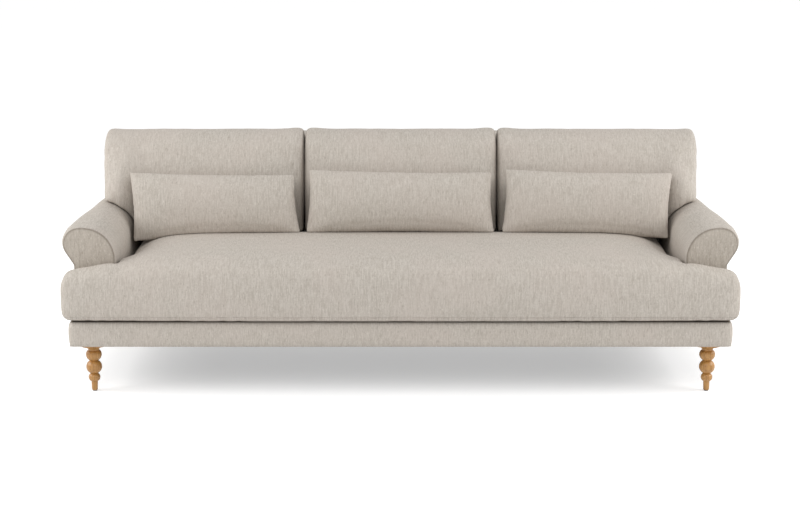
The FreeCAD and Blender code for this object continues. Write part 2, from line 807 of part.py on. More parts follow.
def make_back(dowel_holes):
    """Leaning back: posts, rails, webbing, padding and its covers."""
    skin = "dims.arm_cover_thickness"
    low, wide = "(0 - dims.back_foot_sink)", HALF_BACK
    edge = "dims.back_edge_radius"
    under = box("under_deck", (f"0 - {FAR}", FAR), (f"0 - {FAR}", FAR), (f"0 - {FAR}", BASE_TOP))
    lean = Placement(Vector(0, size(BACK_FOOT), size(BASE_TOP)),
                     Rotation(Vector(1, 0, 0), -size("dims.back_rake")))

    def off_the_foot(rise):
        """Test for edges above the block's hidden lower end."""
        return lambda middle: lean.inverse().multVec(middle).z > rise + 1

    envelope = leaning_box("back_envelope", (f"0 - {wide}", wide), (BACK_FACE, "0"),
                           (low, "dims.back_height"))
    envelope = rounded("back_soft", envelope, off_the_foot(size(low)), edge)
    inner_wide = f"({wide} - {skin})"
    hollow = leaning_box("back_hollow", (f"0 - {inner_wide}", inner_wide),
                         (f"{BACK_FACE} + {skin}", f"0 - {skin}"),
                         (low, f"dims.back_height - {skin}"))
    hollow = rounded("back_hollow_soft", hollow, off_the_foot(size(low)), f"({edge} - {skin})")
    panel_wide = f"({wide} - {edge})"
    panel_high = f"(dims.back_height - {edge})"
    opening = leaning_box("back_opening", (f"0 - {panel_wide}", panel_wide),
                          (FRAME_FACE, FAR), (low, panel_high))

    plate = leaning_box("rear_plate", (f"0 - {FAR}", FAR), (FRAME_REAR, "0"), (low, FAR))
    arm = padded_outline("arm_rear_shape", arm_outline("0", "0"), "0", FAR)
    ear = common("arm_ear", arm, plate)
    middle = leaning_box("rear_middle", (f"0 - {panel_wide}", panel_wide),
                         (FRAME_REAR, "0"), (low, panel_high))
    outside = cut("outside_back_panel",
                  fuse("outside_back", [middle, ear, mirrored("arm_ear_left", ear)]), under)
    keep("outside_back_panel", outside)

    near_arms = arm_cutters("near_arms", "dims.notch_gap / 2")
    skin_arms = arm_cutters("skin_arms", f"(dims.notch_gap / 2 + {skin})")
    frame_arms = arm_cutters("frame_arms", f"(dims.notch_gap + {skin})")
    shell = cut("back_shell", envelope, under, *near_arms)
    void = cut("back_void", fuse("back_void_blank", [hollow, opening]), *skin_arms)
    keep("inside_back_cover", cut("inside_back_cover", shell, void, outside))

    strap = "dims.webbing_thickness"
    strap_face = f"({FRAME_FACE} - {strap})"
    pad_wide = f"({inner_wide} - dims.fit)"
    padding = leaning_box("back_pad_blank", (f"0 - {pad_wide}", pad_wide),
                          (f"{BACK_FACE} + {skin} + dims.fit", strap_face),
                          (low, f"dims.back_height - {skin} - dims.fit"))
    pad_rear = size(strap_face)
    padding = rounded(
        "back_pad_soft", padding,
        lambda spot: lean.inverse().multVec(spot).z > size(low) + 1
        and lean.inverse().multVec(spot).y < pad_rear - 1,
        f"({edge} - {skin})",
    )
    keep("back_padding", cut("back_padding", padding, under, *frame_arms))

    frame_high = panel_high
    post = leaning_box("back_post_blank", (POST_INNER, panel_wide), (FRAME_FACE, FRAME_REAR),
                       (low, frame_high))
    post = keep("back_post_right", cut("back_post", post, under, frame_arms[0], dowel_holes))
    keep("back_post_left", mirrored("back_post_left", post))
    span = (f"0 - {POST_INNER}", POST_INNER)
    depth = (FRAME_FACE, FRAME_REAR)
    keep("back_top_rail", leaning_box("back_top_rail", span, depth,
                                      (f"{frame_high} - dims.back_rail_height", frame_high)))
    lower = "(dims.lower_rail_rise + dims.back_rail_height)"
    keep("back_lower_rail", leaning_box("back_lower_rail", span, depth,
                                        ("dims.lower_rail_rise", lower)))
    straps = []
    count = int(size("dims.webbing_straps"))
    for number in range(count):
        middle_x = f"({number - (count - 1) / 2} * dims.webbing_spacing)"
        across = (f"{middle_x} - dims.webbing_width / 2", f"{middle_x} + dims.webbing_width / 2")
        straps.append(leaning_box(f"strap_{number}", across, (strap_face, FRAME_FACE),
                                  ("dims.lower_rail_rise", frame_high)))
    keep("back_webbing", group("back_webbing", straps))


# Soft forms

def lean_y(height, depth):
    """Y of a plane parallel to the back, at a height and a leaning depth."""
    rake = math.radians(size("dims.back_rake"))
    return size(BACK_FOOT) + (height - size(BASE_TOP)) * math.tan(rake) + depth / math.cos(rake)


def section(across, spots, kinds):
    """Closed wire in the plane X = across.

    Spots are (y, z) points. Each kind takes the run onwards: a line uses one
    more point, and an arc two, the first of them halfway along.
    """
    points = [Vector(across, y, z) for y, z in spots]
    points.append(points[0])
    edges, at = [], 0
    for kind in kinds:
        if kind == "line":
            edges.append(Part.makeLine(points[at], points[at + 1]))
            at += 1
        else:
            edges.append(Part.Arc(*points[at:at + 3]).toShape())
            at += 2
    return Part.Wire(edges)


def crown_at(distance, margin):
    """Share of the crown reached at a distance in from a seam."""
    if distance >= margin:
        return 1.0
    return math.sqrt(1 - (1 - distance / margin) ** 2)


def seat_form(inset):
    """T-shaped seat cushion, drawn in by an inset."""
    front = -size(HALF_DEPTH) + inset
    rear = lean_y(size(BASE_TOP), size(BACK_FACE)) - size("dims.seat_side_gap") - inset
    low = size(BASE_TOP) + size("dims.soft_gap") + inset
    edge = low + size("dims.seat_cushion_thickness") - 2 * inset
    soft, bulge = size("dims.seat_edge_radius") - inset, size("dims.seat_face_bulge")
    bend = soft * (1 - math.sqrt(0.5))
    half = size(HALF_SEAT) - size("dims.seat_side_gap") - inset
    margin = size("dims.seat_crown_margin")
    flat = rear - size("dims.seat_flat_depth")
    face = front + bulge
    middle = (low + edge) / 2
    kinds = ("line", "arc", "arc", "arc", "arc", "line", "line")

    def main(across):
        """Section of the part between the arms."""
        share = max(crown_at(half - abs(across), margin), 0.02)
        top = edge + size("dims.seat_crown") * share
        shoulder = face + soft
        swell = edge + size("dims.seat_crown") * share * size("dims.seat_crown_shoulder")
        spots = [(rear, low), (face + soft, low), (face + bend, low + bend),
                 (face, low + soft), (front, middle), (face, edge - soft),
                 (face + bend, edge - bend), (shoulder, edge),
                 ((shoulder + flat) / 2, swell), (flat, top), (rear, top)]
        return section(across, spots, kinds)

    shares = (0, 0.02, 0.06, 0.12, 0.21, 0.33, 0.5, 0.72, 1)
    places = [half - margin * share for share in shares]
    stations = [-place for place in places] + places[::-1]
    body = Part.makeLoft([main(across) for across in stations], True, True)

    wing_rear = size(ARM_FRONT) - size("dims.seat_side_gap") - inset
    outer = size(HALF_WING) - inset

    def wing(across, draw):
        """Section of a front wing, drawn in near its outer end."""
        ahead, behind = face + draw, wing_rear - draw
        bottom, top = low + draw, edge - draw
        spots = [(behind - soft, bottom), (ahead + soft, bottom),
                 (ahead + bend, bottom + bend), (ahead, bottom + soft),
                 (front + draw, middle), (ahead, top - soft),
                 (ahead + bend, top - bend), (ahead + soft, top),
                 (behind - soft, top), (behind - bend, top - bend),
                 (behind, top - soft), (behind, bottom + soft),
                 (behind - bend, bottom + bend)]
        return section(across, spots, ("line", "arc", "arc", "arc", "line", "arc", "line", "arc"))

    end_round = size("dims.wing_end_radius")
    depths = [end_round * share for share in (0, 0.05, 0.17, 0.36, 0.62, 1)]
    depths.append(outer - half)
    pieces = [body]
    for side in (1, -1):
        wires = [
            wing(side * (outer - depth), soft * 0.7 * (1 - crown_at(depth, end_round)))
            for depth in depths
        ]
        pieces.append(Part.makeLoft(wires, True, True))
    return pieces[0].fuse(pieces[1:])


def back_cushion_form(low_x, high_x, inset, arms):
    """Back cushion between two limits, drawn in by an inset."""
    low_x, high_x = low_x + inset, high_x - inset
    rake_gap = size(BACK_FACE) - size("dims.soft_gap") - inset
    low = size(SEAT_TOP) + size("dims.soft_gap") + inset
    high = size(SEAT_TOP) + size("dims.back_cushion_height") - inset
    edge = size("dims.back_cushion_edge") - 2 * inset
    crown, drop = size("dims.back_cushion_crown"), size("dims.back_cushion_top_drop")
    round_top, belly = size("dims.back_cushion_top_radius"), size("dims.back_cushion_belly")
    margin = size("dims.back_cushion_crown_margin")

    def spot(height, thickness):
        """Point that far in front of the leaning back."""
        return (lean_y(height, rake_gap) - thickness, height)

    def slice_at(across, share):
        """Section at one place across, with its share of the crown."""
        top = high - drop * (1 - share)
        front = top - round_top
        spots = [spot(low, 0), spot(low, edge + crown * 0.3 * share),
                 spot(low + (front - low) * 0.55, edge + belly + crown * share),
                 spot(front, edge + crown * 0.55 * share),
                 (lean_y(top, rake_gap) - edge * 0.5, top),
                 spot(top - round_top * 0.7, 0)]
        return section(across, spots, ("line", "arc", "arc", "line"))

    width = high_x - low_x
    rises = ((0, 0.0), (1 / 12, 0.42), (7 / 30, 0.66), (0.5, 0.84), (1, 0.97))
    steps = [(margin * part, share) for part, share in rises] + [(width / 2, 1.0)]
    left = [slice_at(low_x + step, share) for step, share in steps]
    right = [slice_at(high_x - step, share) for step, share in steps[-2::-1]]
    form = Part.makeLoft(left + right, True, False)
    for arm in arms:
        form = form.cut(arm.Shape)
    return form


def bolster_form(width, inset):
    """Lumbar pillow with drawn-in seams, upright and centred on its own middle."""
    half = width / 2 - inset
    tall = size("dims.bolster_height") - 2 * inset
    thick = size("dims.bolster_thickness") - 2 * inset
    edge = size("dims.bolster_edge") - 2 * inset
    flare = size("dims.bolster_flare")
    steps = ((1, 0), (0.955, 0.42), (0.85, 0.74), (0.62, 0.94), (0, 1))

    def lens(share, swell):
        """Section whose two faces meet in a seam at top and bottom."""
        height = tall / 2 + flare / 2 * share**3
        half_thick = edge / 2 + (thick - edge) / 2 * swell
        spots = [(0, -height), (-half_thick, 0), (0, height), (half_thick, 0)]
        return spots

    wires = [section(-half * share, lens(share, swell), ("arc", "arc")) for share, swell in steps]
    wires += [section(half * share, lens(share, swell), ("arc", "arc"))
              for share, swell in steps[-2::-1]]
    return Part.makeLoft(wires, True, False)


def make_cushions():
    """Seat cushion, back cushions and bolsters, each a cover and its filling."""
    skin = size("dims.cover_thickness")
    fill = skin + size("dims.soft_gap")
    outer, inner, core = (seat_form(inset) for inset in (0, skin, fill))
    keep("seat_cushion_cover", shaped("seat_cushion_cover", outer.cut(inner)))
    keep("seat_cushion_core", shaped("seat_cushion_core", core))

    cutters = {
        inset: arm_cutters(f"cushion_arms_{number}", f"(dims.notch_gap + {inset})")
        for number, inset in enumerate((0, skin, fill))
    }
    doc.recompute()
    half_centre = size("dims.centre_cushion_width") / 2
    half_back = size(HALF_BACK)
    parting = size("dims.soft_gap") / 2
    limits = {
        "left": (-half_back, -half_centre - parting),
        "centre": (-half_centre + parting, half_centre - parting),
        "right": (half_centre + parting, half_back),
    }
    cushions = {}
    for name, (low_x, high_x) in limits.items():
        forms = []
        for inset in (0, skin, fill):
            arms = [] if name == "centre" else cutters[inset]
            forms.append(back_cushion_form(low_x, high_x, inset, arms))
        cushions[name] = forms[0]
        keep(f"back_cushion_{name}_cover",
             shaped(f"back_cushion_{name}_cover", forms[0].cut(forms[1])))
        keep(f"back_cushion_{name}_filling", shaped(f"back_cushion_{name}_filling", forms[2]))
    make_bolsters(cushions)


def make_bolsters(cushions):
    """Lumbar pillows, stood on the seat and leaned back until they all but touch."""
    skin = size("dims.bolster_cover_thickness")
    gap = size("dims.soft_gap")
    lean = size("dims.bolster_lean")
    shift = size(f"{HALF_SEAT} - dims.side_bolster_offset")
    plan = {
        "left": ("dims.side_bolster_width", -shift),
        "centre": ("dims.centre_bolster_width", 0),
        "right": ("dims.side_bolster_width", shift),
    }
    for name, (width, across) in plan.items():
        outer = bolster_form(size(width), 0)
        start = Placement(Vector(across, 0, 0), Rotation(Vector(1, 0, 0), -lean))
        outer.Placement = start
        lift = size(SEAT_TOP) + gap - outer.BoundBox.ZMin
        clear = size(ARM_FRONT)
        start.Base = Vector(across, clear, lift)
        outer.Placement = start
        for _ in range(12):
            free = outer.distToShape(cushions[name])[0] - gap
            if free < gap / 4:
                break
            start.Base = start.Base + Vector(0, free, 0)
            outer.Placement = start
        forms = [bolster_form(size(width), inset) for inset in (skin, skin + gap)]
        for form in forms:
            form.Placement = start
        keep(f"bolster_{name}_cover", shaped(f"bolster_{name}_cover", outer.cut(forms[0])))
        keep(f"bolster_{name}_filling", shaped(f"bolster_{name}_filling", forms[1]))


def check_and_write():
    """Stop on any failed object, then write one file for each node."""
    doc.recompute()
    for piece in doc.Objects:
        if "Invalid" in piece.State or "Error" in piece.State:
            raise RuntimeError(f"{piece.Label} failed: {piece.State}")
    os.makedirs("parts", exist_ok=True)
    for node, piece in NODES.items():
        shape = piece.Shape
        if shape.isNull() or not shape.isValid() or not shape.Solids:
            raise RuntimeError(f"{node} has no valid solid")
        shape.exportStep(f"parts/{node}.step")
        print(f"{node}: {len(shape.Solids)} solids, {shape.Volume / 1e6:.3f} litres")
    print(f"{len(NODES)} nodes")


make_legs()
holes = make_dowels()
make_base(holes)
make_springs()
make_arms(holes)
make_back(holes)
make_cushions()
check_and_write()
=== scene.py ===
"""English roll arm sofa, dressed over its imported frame.

Metres. X runs across the sofa, Y from front to rear and Z up from the floor.
"""
import json
import logging
import math
from abc import ABC, abstractmethod
from collections.abc import Callable, Iterator, Sequence
from contextlib import contextmanager
from dataclasses import dataclass, field
from enum import Enum
from typing import Any

import bmesh
import bpy
import numpy as np
from mathutils import Matrix, Vector
from mathutils.bvhtree import BVHTree


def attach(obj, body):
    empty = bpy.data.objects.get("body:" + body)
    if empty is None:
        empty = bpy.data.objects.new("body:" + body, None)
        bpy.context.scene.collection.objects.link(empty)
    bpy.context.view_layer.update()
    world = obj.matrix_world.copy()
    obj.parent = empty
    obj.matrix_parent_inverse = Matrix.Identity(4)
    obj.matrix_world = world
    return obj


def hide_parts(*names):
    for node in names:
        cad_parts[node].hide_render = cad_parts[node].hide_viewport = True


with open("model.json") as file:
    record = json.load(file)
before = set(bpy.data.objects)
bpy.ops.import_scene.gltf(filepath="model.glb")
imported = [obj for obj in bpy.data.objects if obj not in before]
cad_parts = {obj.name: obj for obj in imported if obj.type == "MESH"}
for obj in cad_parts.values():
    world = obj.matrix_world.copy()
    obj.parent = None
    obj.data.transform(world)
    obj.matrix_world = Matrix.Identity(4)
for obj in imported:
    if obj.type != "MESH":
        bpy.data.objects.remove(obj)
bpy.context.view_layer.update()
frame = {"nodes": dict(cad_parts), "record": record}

log = logging.getLogger("sofa")

Corner = tuple[float, float, float]
Spot = tuple[float, float]
Piece = bpy.types.Object
Material = bpy.types.Material
Room = Callable[[np.ndarray], np.ndarray]


class Side(Enum):
    """Side of the sofa as seen from the front."""

    RIGHT = 1
    LEFT = -1

    @property
    def word(self) -> str:
        """Word used for this side in node names."""
        return self.name.lower()


class Element(Enum):
    """What is selected in edit mode, with its list in the mesh."""

    FACE = "faces"
    EDGE = "edges"


# Sizes that several pieces share

HALF_SEAT = 0.967
OUTER_FACE = 1.1035
HALF_BASE = 1.1155
HALF_BACK = 1.073
BASE_TOP = 0.258
BASE_LOW = 0.168
BASE_FRONT = -0.46424
BASE_REAR = 0.40676
ARM_FRONT = -0.37924
ARM_TOP = 0.561
BACK_FOOT = 0.39876
BACK_THICK = 0.1
BACK_HIGH = 0.522
RAKE = math.radians(11.5)
SEAT_TOP = 0.4694
PARTING = 0.352

# Distance within which two places count as one, and the least length to divide by

NEAR = 0.001
TINY = 1e-9


def lean_y(height: np.ndarray, depth: np.ndarray | float) -> np.ndarray:
    """Y of a plane parallel to the back.

    Args:
        height: Heights above the floor.
        depth: Distance in front of the outside of the back.

    Returns:
        Y at those heights.
    """
    return BACK_FOOT + (height - BASE_TOP) * math.tan(RAKE) - depth / math.cos(RAKE)


# Modelling steps


def deselect_all() -> None:
    """Leave edit mode and deselect every object."""
    if bpy.context.mode != "OBJECT":
        bpy.ops.object.mode_set(mode="OBJECT")
    bpy.ops.object.select_all(action="DESELECT")


def take_up(piece: Piece) -> None:
    """Select one piece alone and make it the active one.

    Args:
        piece: The piece to work on.
    """
    deselect_all()
    piece.select_set(True)
    bpy.context.view_layer.objects.active = piece


@contextmanager
def editing(piece: Piece) -> Iterator[None]:
    """Work on one piece in edit mode, all of it selected, then leave it.

    Args:
        piece: The piece to work on.
    """
    take_up(piece)
    bpy.ops.object.mode_set(mode="EDIT")
    bpy.ops.mesh.select_all(action="SELECT")
    try:
        yield
    finally:
        bpy.ops.object.mode_set(mode="OBJECT")


def pick(piece: Piece, element: Element, wanted: Callable[[Any], bool]) -> None:
    """Select the faces or edges that pass a test, in edit mode.

    Args:
        piece: The piece being edited.
        element: Whether faces or edges are selected.
        wanted: Test of one face or edge.
    """
    bpy.ops.mesh.select_mode(type=element.name)
    bpy.ops.mesh.select_all(action="DESELECT")
    mesh = bmesh.from_edit_mesh(piece.data)
    for part in getattr(mesh, element.value):
        if wanted(part):
            part.select_set(True)
    bmesh.update_edit_mesh(piece.data)


def face_outwards() -> None:
    """Point all faces of the piece being edited outwards."""
    bpy.ops.mesh.select_all(action="SELECT")
    bpy.ops.mesh.normals_make_consistent(inside=False)


def block(name: str, low: Corner, high: Corner) -> Piece:
    """Rectangular block, its place in its mesh.

    Args:
        name: Name of the piece.
        low: Its lowest corner.
        high: Its highest corner.

    Returns:
        The block.
    """
    deselect_all()
    middle = [(a + b) / 2 for a, b in zip(low, high)]
    sides = [b - a for a, b in zip(low, high)]
    bpy.ops.mesh.primitive_cube_add(size=1, location=middle, scale=sides)
    piece = bpy.context.active_object
    piece.name = piece.data.name = name
    bpy.ops.object.transform_apply(location=True, rotation=True, scale=True)
    return piece


def points(piece: Piece) -> np.ndarray:
    """Places of a piece's vertices.

    Args:
        piece: The piece to read.

    Returns:
        One row for each vertex.
    """
    flat = np.empty(len(piece.data.vertices) * 3)
    piece.data.vertices.foreach_get("co", flat)
    return flat.reshape(-1, 3)


def put(piece: Piece, places: np.ndarray) -> None:
    """Move a piece's vertices to new places."""
    piece.data.vertices.foreach_set("co", places.ravel())
    piece.data.update()


def outward(piece: Piece) -> np.ndarray:
    """Outward direction at each vertex of a piece.

    Args:
        piece: The piece to read.

    Returns:
        One row for each vertex.
    """
    flat = np.empty(len(piece.data.vertices) * 3, dtype=np.float32)
    piece.data.vertex_normals.foreach_get("vector", flat)
    return flat.reshape(-1, 3).astype(float)


def press(piece: Piece, kind: str, **settings: Any) -> None:
    """Add one modifier and apply it.

    Args:
        piece: The piece to shape.
        kind: Blender's name for the modifier.
        settings: Properties of the modifier.
    """
    take_up(piece)
    step = piece.modifiers.new(kind.title(), kind)
    for setting, value in settings.items():
        setattr(step, setting, value)
    bpy.ops.object.modifier_apply(modifier=step.name)


def remesh(piece: Piece, cell: float) -> None:
    """Give a closed piece an even mesh of small cells."""
    press(piece, "REMESH", mode="VOXEL", voxel_size=cell)


def relax(piece: Piece, rounds: int, factor: float = 0.5) -> None:
    """Smooth a piece's mesh in rounds."""
    press(piece, "SMOOTH", factor=factor, iterations=rounds)


def refine(piece: Piece) -> None:
    """Divide a piece's faces once, along a smooth surface."""
    press(piece, "SUBSURF", levels=1, render_levels=1)


def soften(piece: Piece, cell: float, rounds: int) -> None:
    """Turn a sharp block into an even, rounded one.

    Args:
        piece: Closed block.
        cell: Size of its new faces.
        rounds: Rounds of smoothing.
    """
    press(piece, "TRIANGULATE")
    remesh(piece, cell)
    relax(piece, rounds)


def solid_copy(name: str, node: str) -> Piece:
    """Closed copy of a node's form.

    Args:
        name: Name of the copy.
        node: Node whose form it takes.

    Returns:
        The copy, its loose triangles merged.
    """
    deselect_all()
    piece = bpy.data.objects.new(name, frame["nodes"][node].data.copy())
    bpy.context.collection.objects.link(piece)
    piece.data.materials.clear()
    with editing(piece):
        bpy.ops.mesh.remove_doubles(threshold=0.00002)
        face_outwards()
    return piece


def cut_foot(piece: Piece, height: float) -> None:
    """Cut off what a closed piece has under one height, and close it again."""
    with editing(piece):
        bpy.ops.mesh.bisect(plane_co=(0, 0, height), plane_no=(0, 0, 1),
                            clear_inner=True, use_fill=True)


def smooth_faces(piece: Piece, degrees: float = 40) -> None:
    """Shade a piece smooth, but for edges sharper than an angle."""
    take_up(piece)
    bpy.ops.object.shade_smooth_by_angle(angle=math.radians(degrees))


def eased(values: np.ndarray, low: float, high: float) -> np.ndarray:
    """Soft step from 0 at low to 1 at high."""
    share = ((values - low) / (high - low)).clip(0, 1)
    return share * share * (3 - 2 * share)


def peak(values: np.ndarray, middle: float, width: float) -> np.ndarray:
    """Soft peak of 1 at the middle, which dies out over the width."""
    return np.exp(-((values - middle) / width) ** 2)


@dataclass(frozen=True)
class Stuffing:
    """Filling that blows a cover up from inside, against its own cloth."""

    cap: float
    pressure: float = 4.0
    cloth_mass: float = 0.3
    stiffness: float = 0.9
    frames: int = 20
    quality: int = 3

    def swell(self, piece: Piece, room: Room) -> None:
        """Blow up one closed cover and keep the result.

        Args:
            piece: Closed mesh, a little smaller than the cushion.
            room: Free space round each starting point.
        """
        start = points(piece)
        free = np.minimum(self.cap, np.maximum(room(start), 0.0))
        take_up(piece)
        cloth = piece.modifiers.new("Cloth", "CLOTH")
        cloth.settings.quality = self.quality
        cloth.settings.mass = self.cloth_mass
        cloth.settings.use_pressure = True
        cloth.settings.uniform_pressure_force = self.pressure
        cloth.settings.effector_weights.gravity = 0
        cloth.collision_settings.use_self_collision = False
        cloth.point_cache.frame_start = 1
        cloth.point_cache.frame_end = self.frames
        for number in range(1, self.frames + 1):
            bpy.context.scene.frame_set(number)
        bpy.ops.object.modifier_apply(modifier=cloth.name)
        bpy.context.scene.frame_set(1)
        moved, out = points(piece) - start, outward(piece)
        inward = np.minimum((moved * out).sum(1), 0)
        moved -= out * (self.stiffness * inward)[:, None]
        length = np.linalg.norm(moved, axis=1)
        share = free * np.tanh(length / np.maximum(free, TINY)) / np.maximum(length, TINY)
        put(piece, start + moved * share[:, None])


# Shader steps


class Recipe:
    """Node tree of a finish or of the sky."""

    def __init__(self, owner: Material | bpy.types.World) -> None:
        """Empty the owner's node tree."""
        owner.use_nodes = True
        self.tree = owner.node_tree
        self.tree.nodes.clear()

    def feed(self, socket: bpy.types.NodeSocket, value: Any) -> None:
        """Link one input or set its value.

        Args:
            socket: The input.
            value: Value, socket or Signal.
        """
        source = value.socket if isinstance(value, Signal) else value
        if isinstance(source, bpy.types.NodeSocket):
            self.tree.links.new(source, socket)
        else:
            socket.default_value = source

    def node(self, kind: str, inputs: dict[Any, Any] | None = None, **settings: Any) -> Any:
        """Add one node, set it up and link or fill its inputs.

        Args:
            kind: Blender's name for the node.
            inputs: Value, socket or Signal for each input, by name or number.
            settings: Properties of the node.

        Returns:
            The node.
        """
        made = self.tree.nodes.new(kind)
        for setting, value in settings.items():
            setattr(made, setting, value)
        for name, value in (inputs or {}).items():
            self.feed(made.inputs[name], value)
        return made

    def signal(self, socket: bpy.types.NodeSocket) -> "Signal":
        """Wrap a socket for arithmetic."""
        return Signal(self, socket)

    def noise(self, place: Any, scale: float, detail: float = 2.0,
              roughness: float = 0.5) -> "Signal":
        """Smooth random value about a half, from 0 to 1."""
        made = self.node("ShaderNodeTexNoise", {"Vector": place, "Scale": scale,
                                                "Detail": detail, "Roughness": roughness})
        return self.signal(made.outputs[0])

    def streaks(self, place: Any, scales: Corner, detail: float = 2.0, roughness: float = 0.5,
                shift: float = 0.0) -> "Signal":
        """Noise drawn out by a scale of its own along each axis."""
        made = self.node("ShaderNodeMapping", {"Vector": place, "Location": (shift,) * 3,
                                               "Scale": scales})
        return self.noise(made.outputs[0], 1.0, detail, roughness)

    def blend(self, share: "Signal", first: Any, second: Any) -> Any:
        """Colour between two colours.

        Args:
            share: Share of the second colour, from 0 to 1.
            first: Colour or its socket.
            second: Colour or its socket.

        Returns:
            Socket of the colour.
        """
        made = self.node("ShaderNodeMix", data_type="RGBA")
        for name, value in (("Factor", share), ("A", first), ("B", second)):
            self.feed(next(s for s in made.inputs if s.name == name and s.enabled), value)
        return next(s for s in made.outputs if s.enabled)

    def bump(self, height: "Signal", distance: float, strength: float) -> Any:
        """Surface direction raised by a height signal."""
        inputs = {"Height": height, "Distance": distance, "Strength": strength}
        return self.node("ShaderNodeBump", inputs).outputs[0]

    def shader(self, inputs: dict[str, Any]) -> None:
        """Principled surface, linked to the output."""
        made = self.node("ShaderNodeBsdfPrincipled", inputs)
        self.node("ShaderNodeOutputMaterial", {"Surface": made.outputs[0]})


class Signal:
    """Value of one socket, with arithmetic that adds Math nodes."""

    def __init__(self, recipe: Recipe, socket: bpy.types.NodeSocket) -> None:
        """Wrap a socket of a recipe."""
        self.recipe = recipe
        self.socket = socket

    def math(self, operation: str, *others: Any, first: Any = None) -> "Signal":
        """Result of one Math node.

        Args:
            operation: The node's operation.
            others: Values after this one.
            first: Value before this one.

        Returns:
            The result.
        """
        values = ([first] if first is not None else []) + [self, *others]
        made = self.recipe.node("ShaderNodeMath", dict(enumerate(values)), operation=operation)
        return Signal(self.recipe, made.outputs[0])

    def __add__(self, other: Any) -> "Signal":
        """Sum."""
        return self.math("ADD", other)

    __radd__ = __add__

    def __sub__(self, other: Any) -> "Signal":
        """Difference."""
        return self.math("SUBTRACT", other)

    def __rsub__(self, other: Any) -> "Signal":
        """Number less this value."""
        return self.math("SUBTRACT", first=other)

    def __mul__(self, other: Any) -> "Signal":
        """Product."""
        return self.math("MULTIPLY", other)

    __rmul__ = __mul__

    def __abs__(self) -> "Signal":
        """Size without sign."""
        return self.math("ABSOLUTE")

    def ramp(self, low: float, high: float) -> "Signal":
        """Soft step from 0 at low to 1 at high."""
        made = self.recipe.node("ShaderNodeMapRange",
                                {"Value": self, "From Min": low, "From Max": high},
                                interpolation_type="SMOOTHSTEP")
        return Signal(self.recipe, made.outputs[0])


def paint(code: str) -> tuple[float, float, float, float]:
    """Linear colour of a six-figure colour code, by the curve of sRGB.

    Args:
        code: Red, green and blue, two figures each.

    Returns:
        Red, green, blue and full cover.
    """
    parts = [int(code[at:at + 2], 16) / 255 for at in (0, 2, 4)]
    linear = [p / 12.92 if p <= 0.04045 else ((p + 0.055) / 1.055) ** 2.4 for p in parts]
    return (*linear, 1.0)


# Finishes


@dataclass(frozen=True)
class Finish(ABC):
    """One material, whose nodes each kind of finish lays out."""

    name: str

    @abstractmethod
    def lay_out(self, recipe: Recipe, place: Any) -> None:
        """Add the finish's nodes.

        Args:
            recipe: Node tree to fill.
            place: Socket of the piece's own coordinates.
        """

    def material(self) -> Material:
        """Build the material.

        Returns:
            The material, ready for a piece.
        """
        made = bpy.data.materials.new(self.name)
        recipe = Recipe(made)
        self.lay_out(recipe, recipe.node("ShaderNodeTexCoord").outputs["Object"])
        return made


@dataclass(frozen=True)
class Yarn:
    """One set of woven streaks: scales, detail, shift and its part in tone and relief."""

    across: float
    along: float
    detail: float
    shift: float
    tone: float = 0.0
    relief: float = 0.0


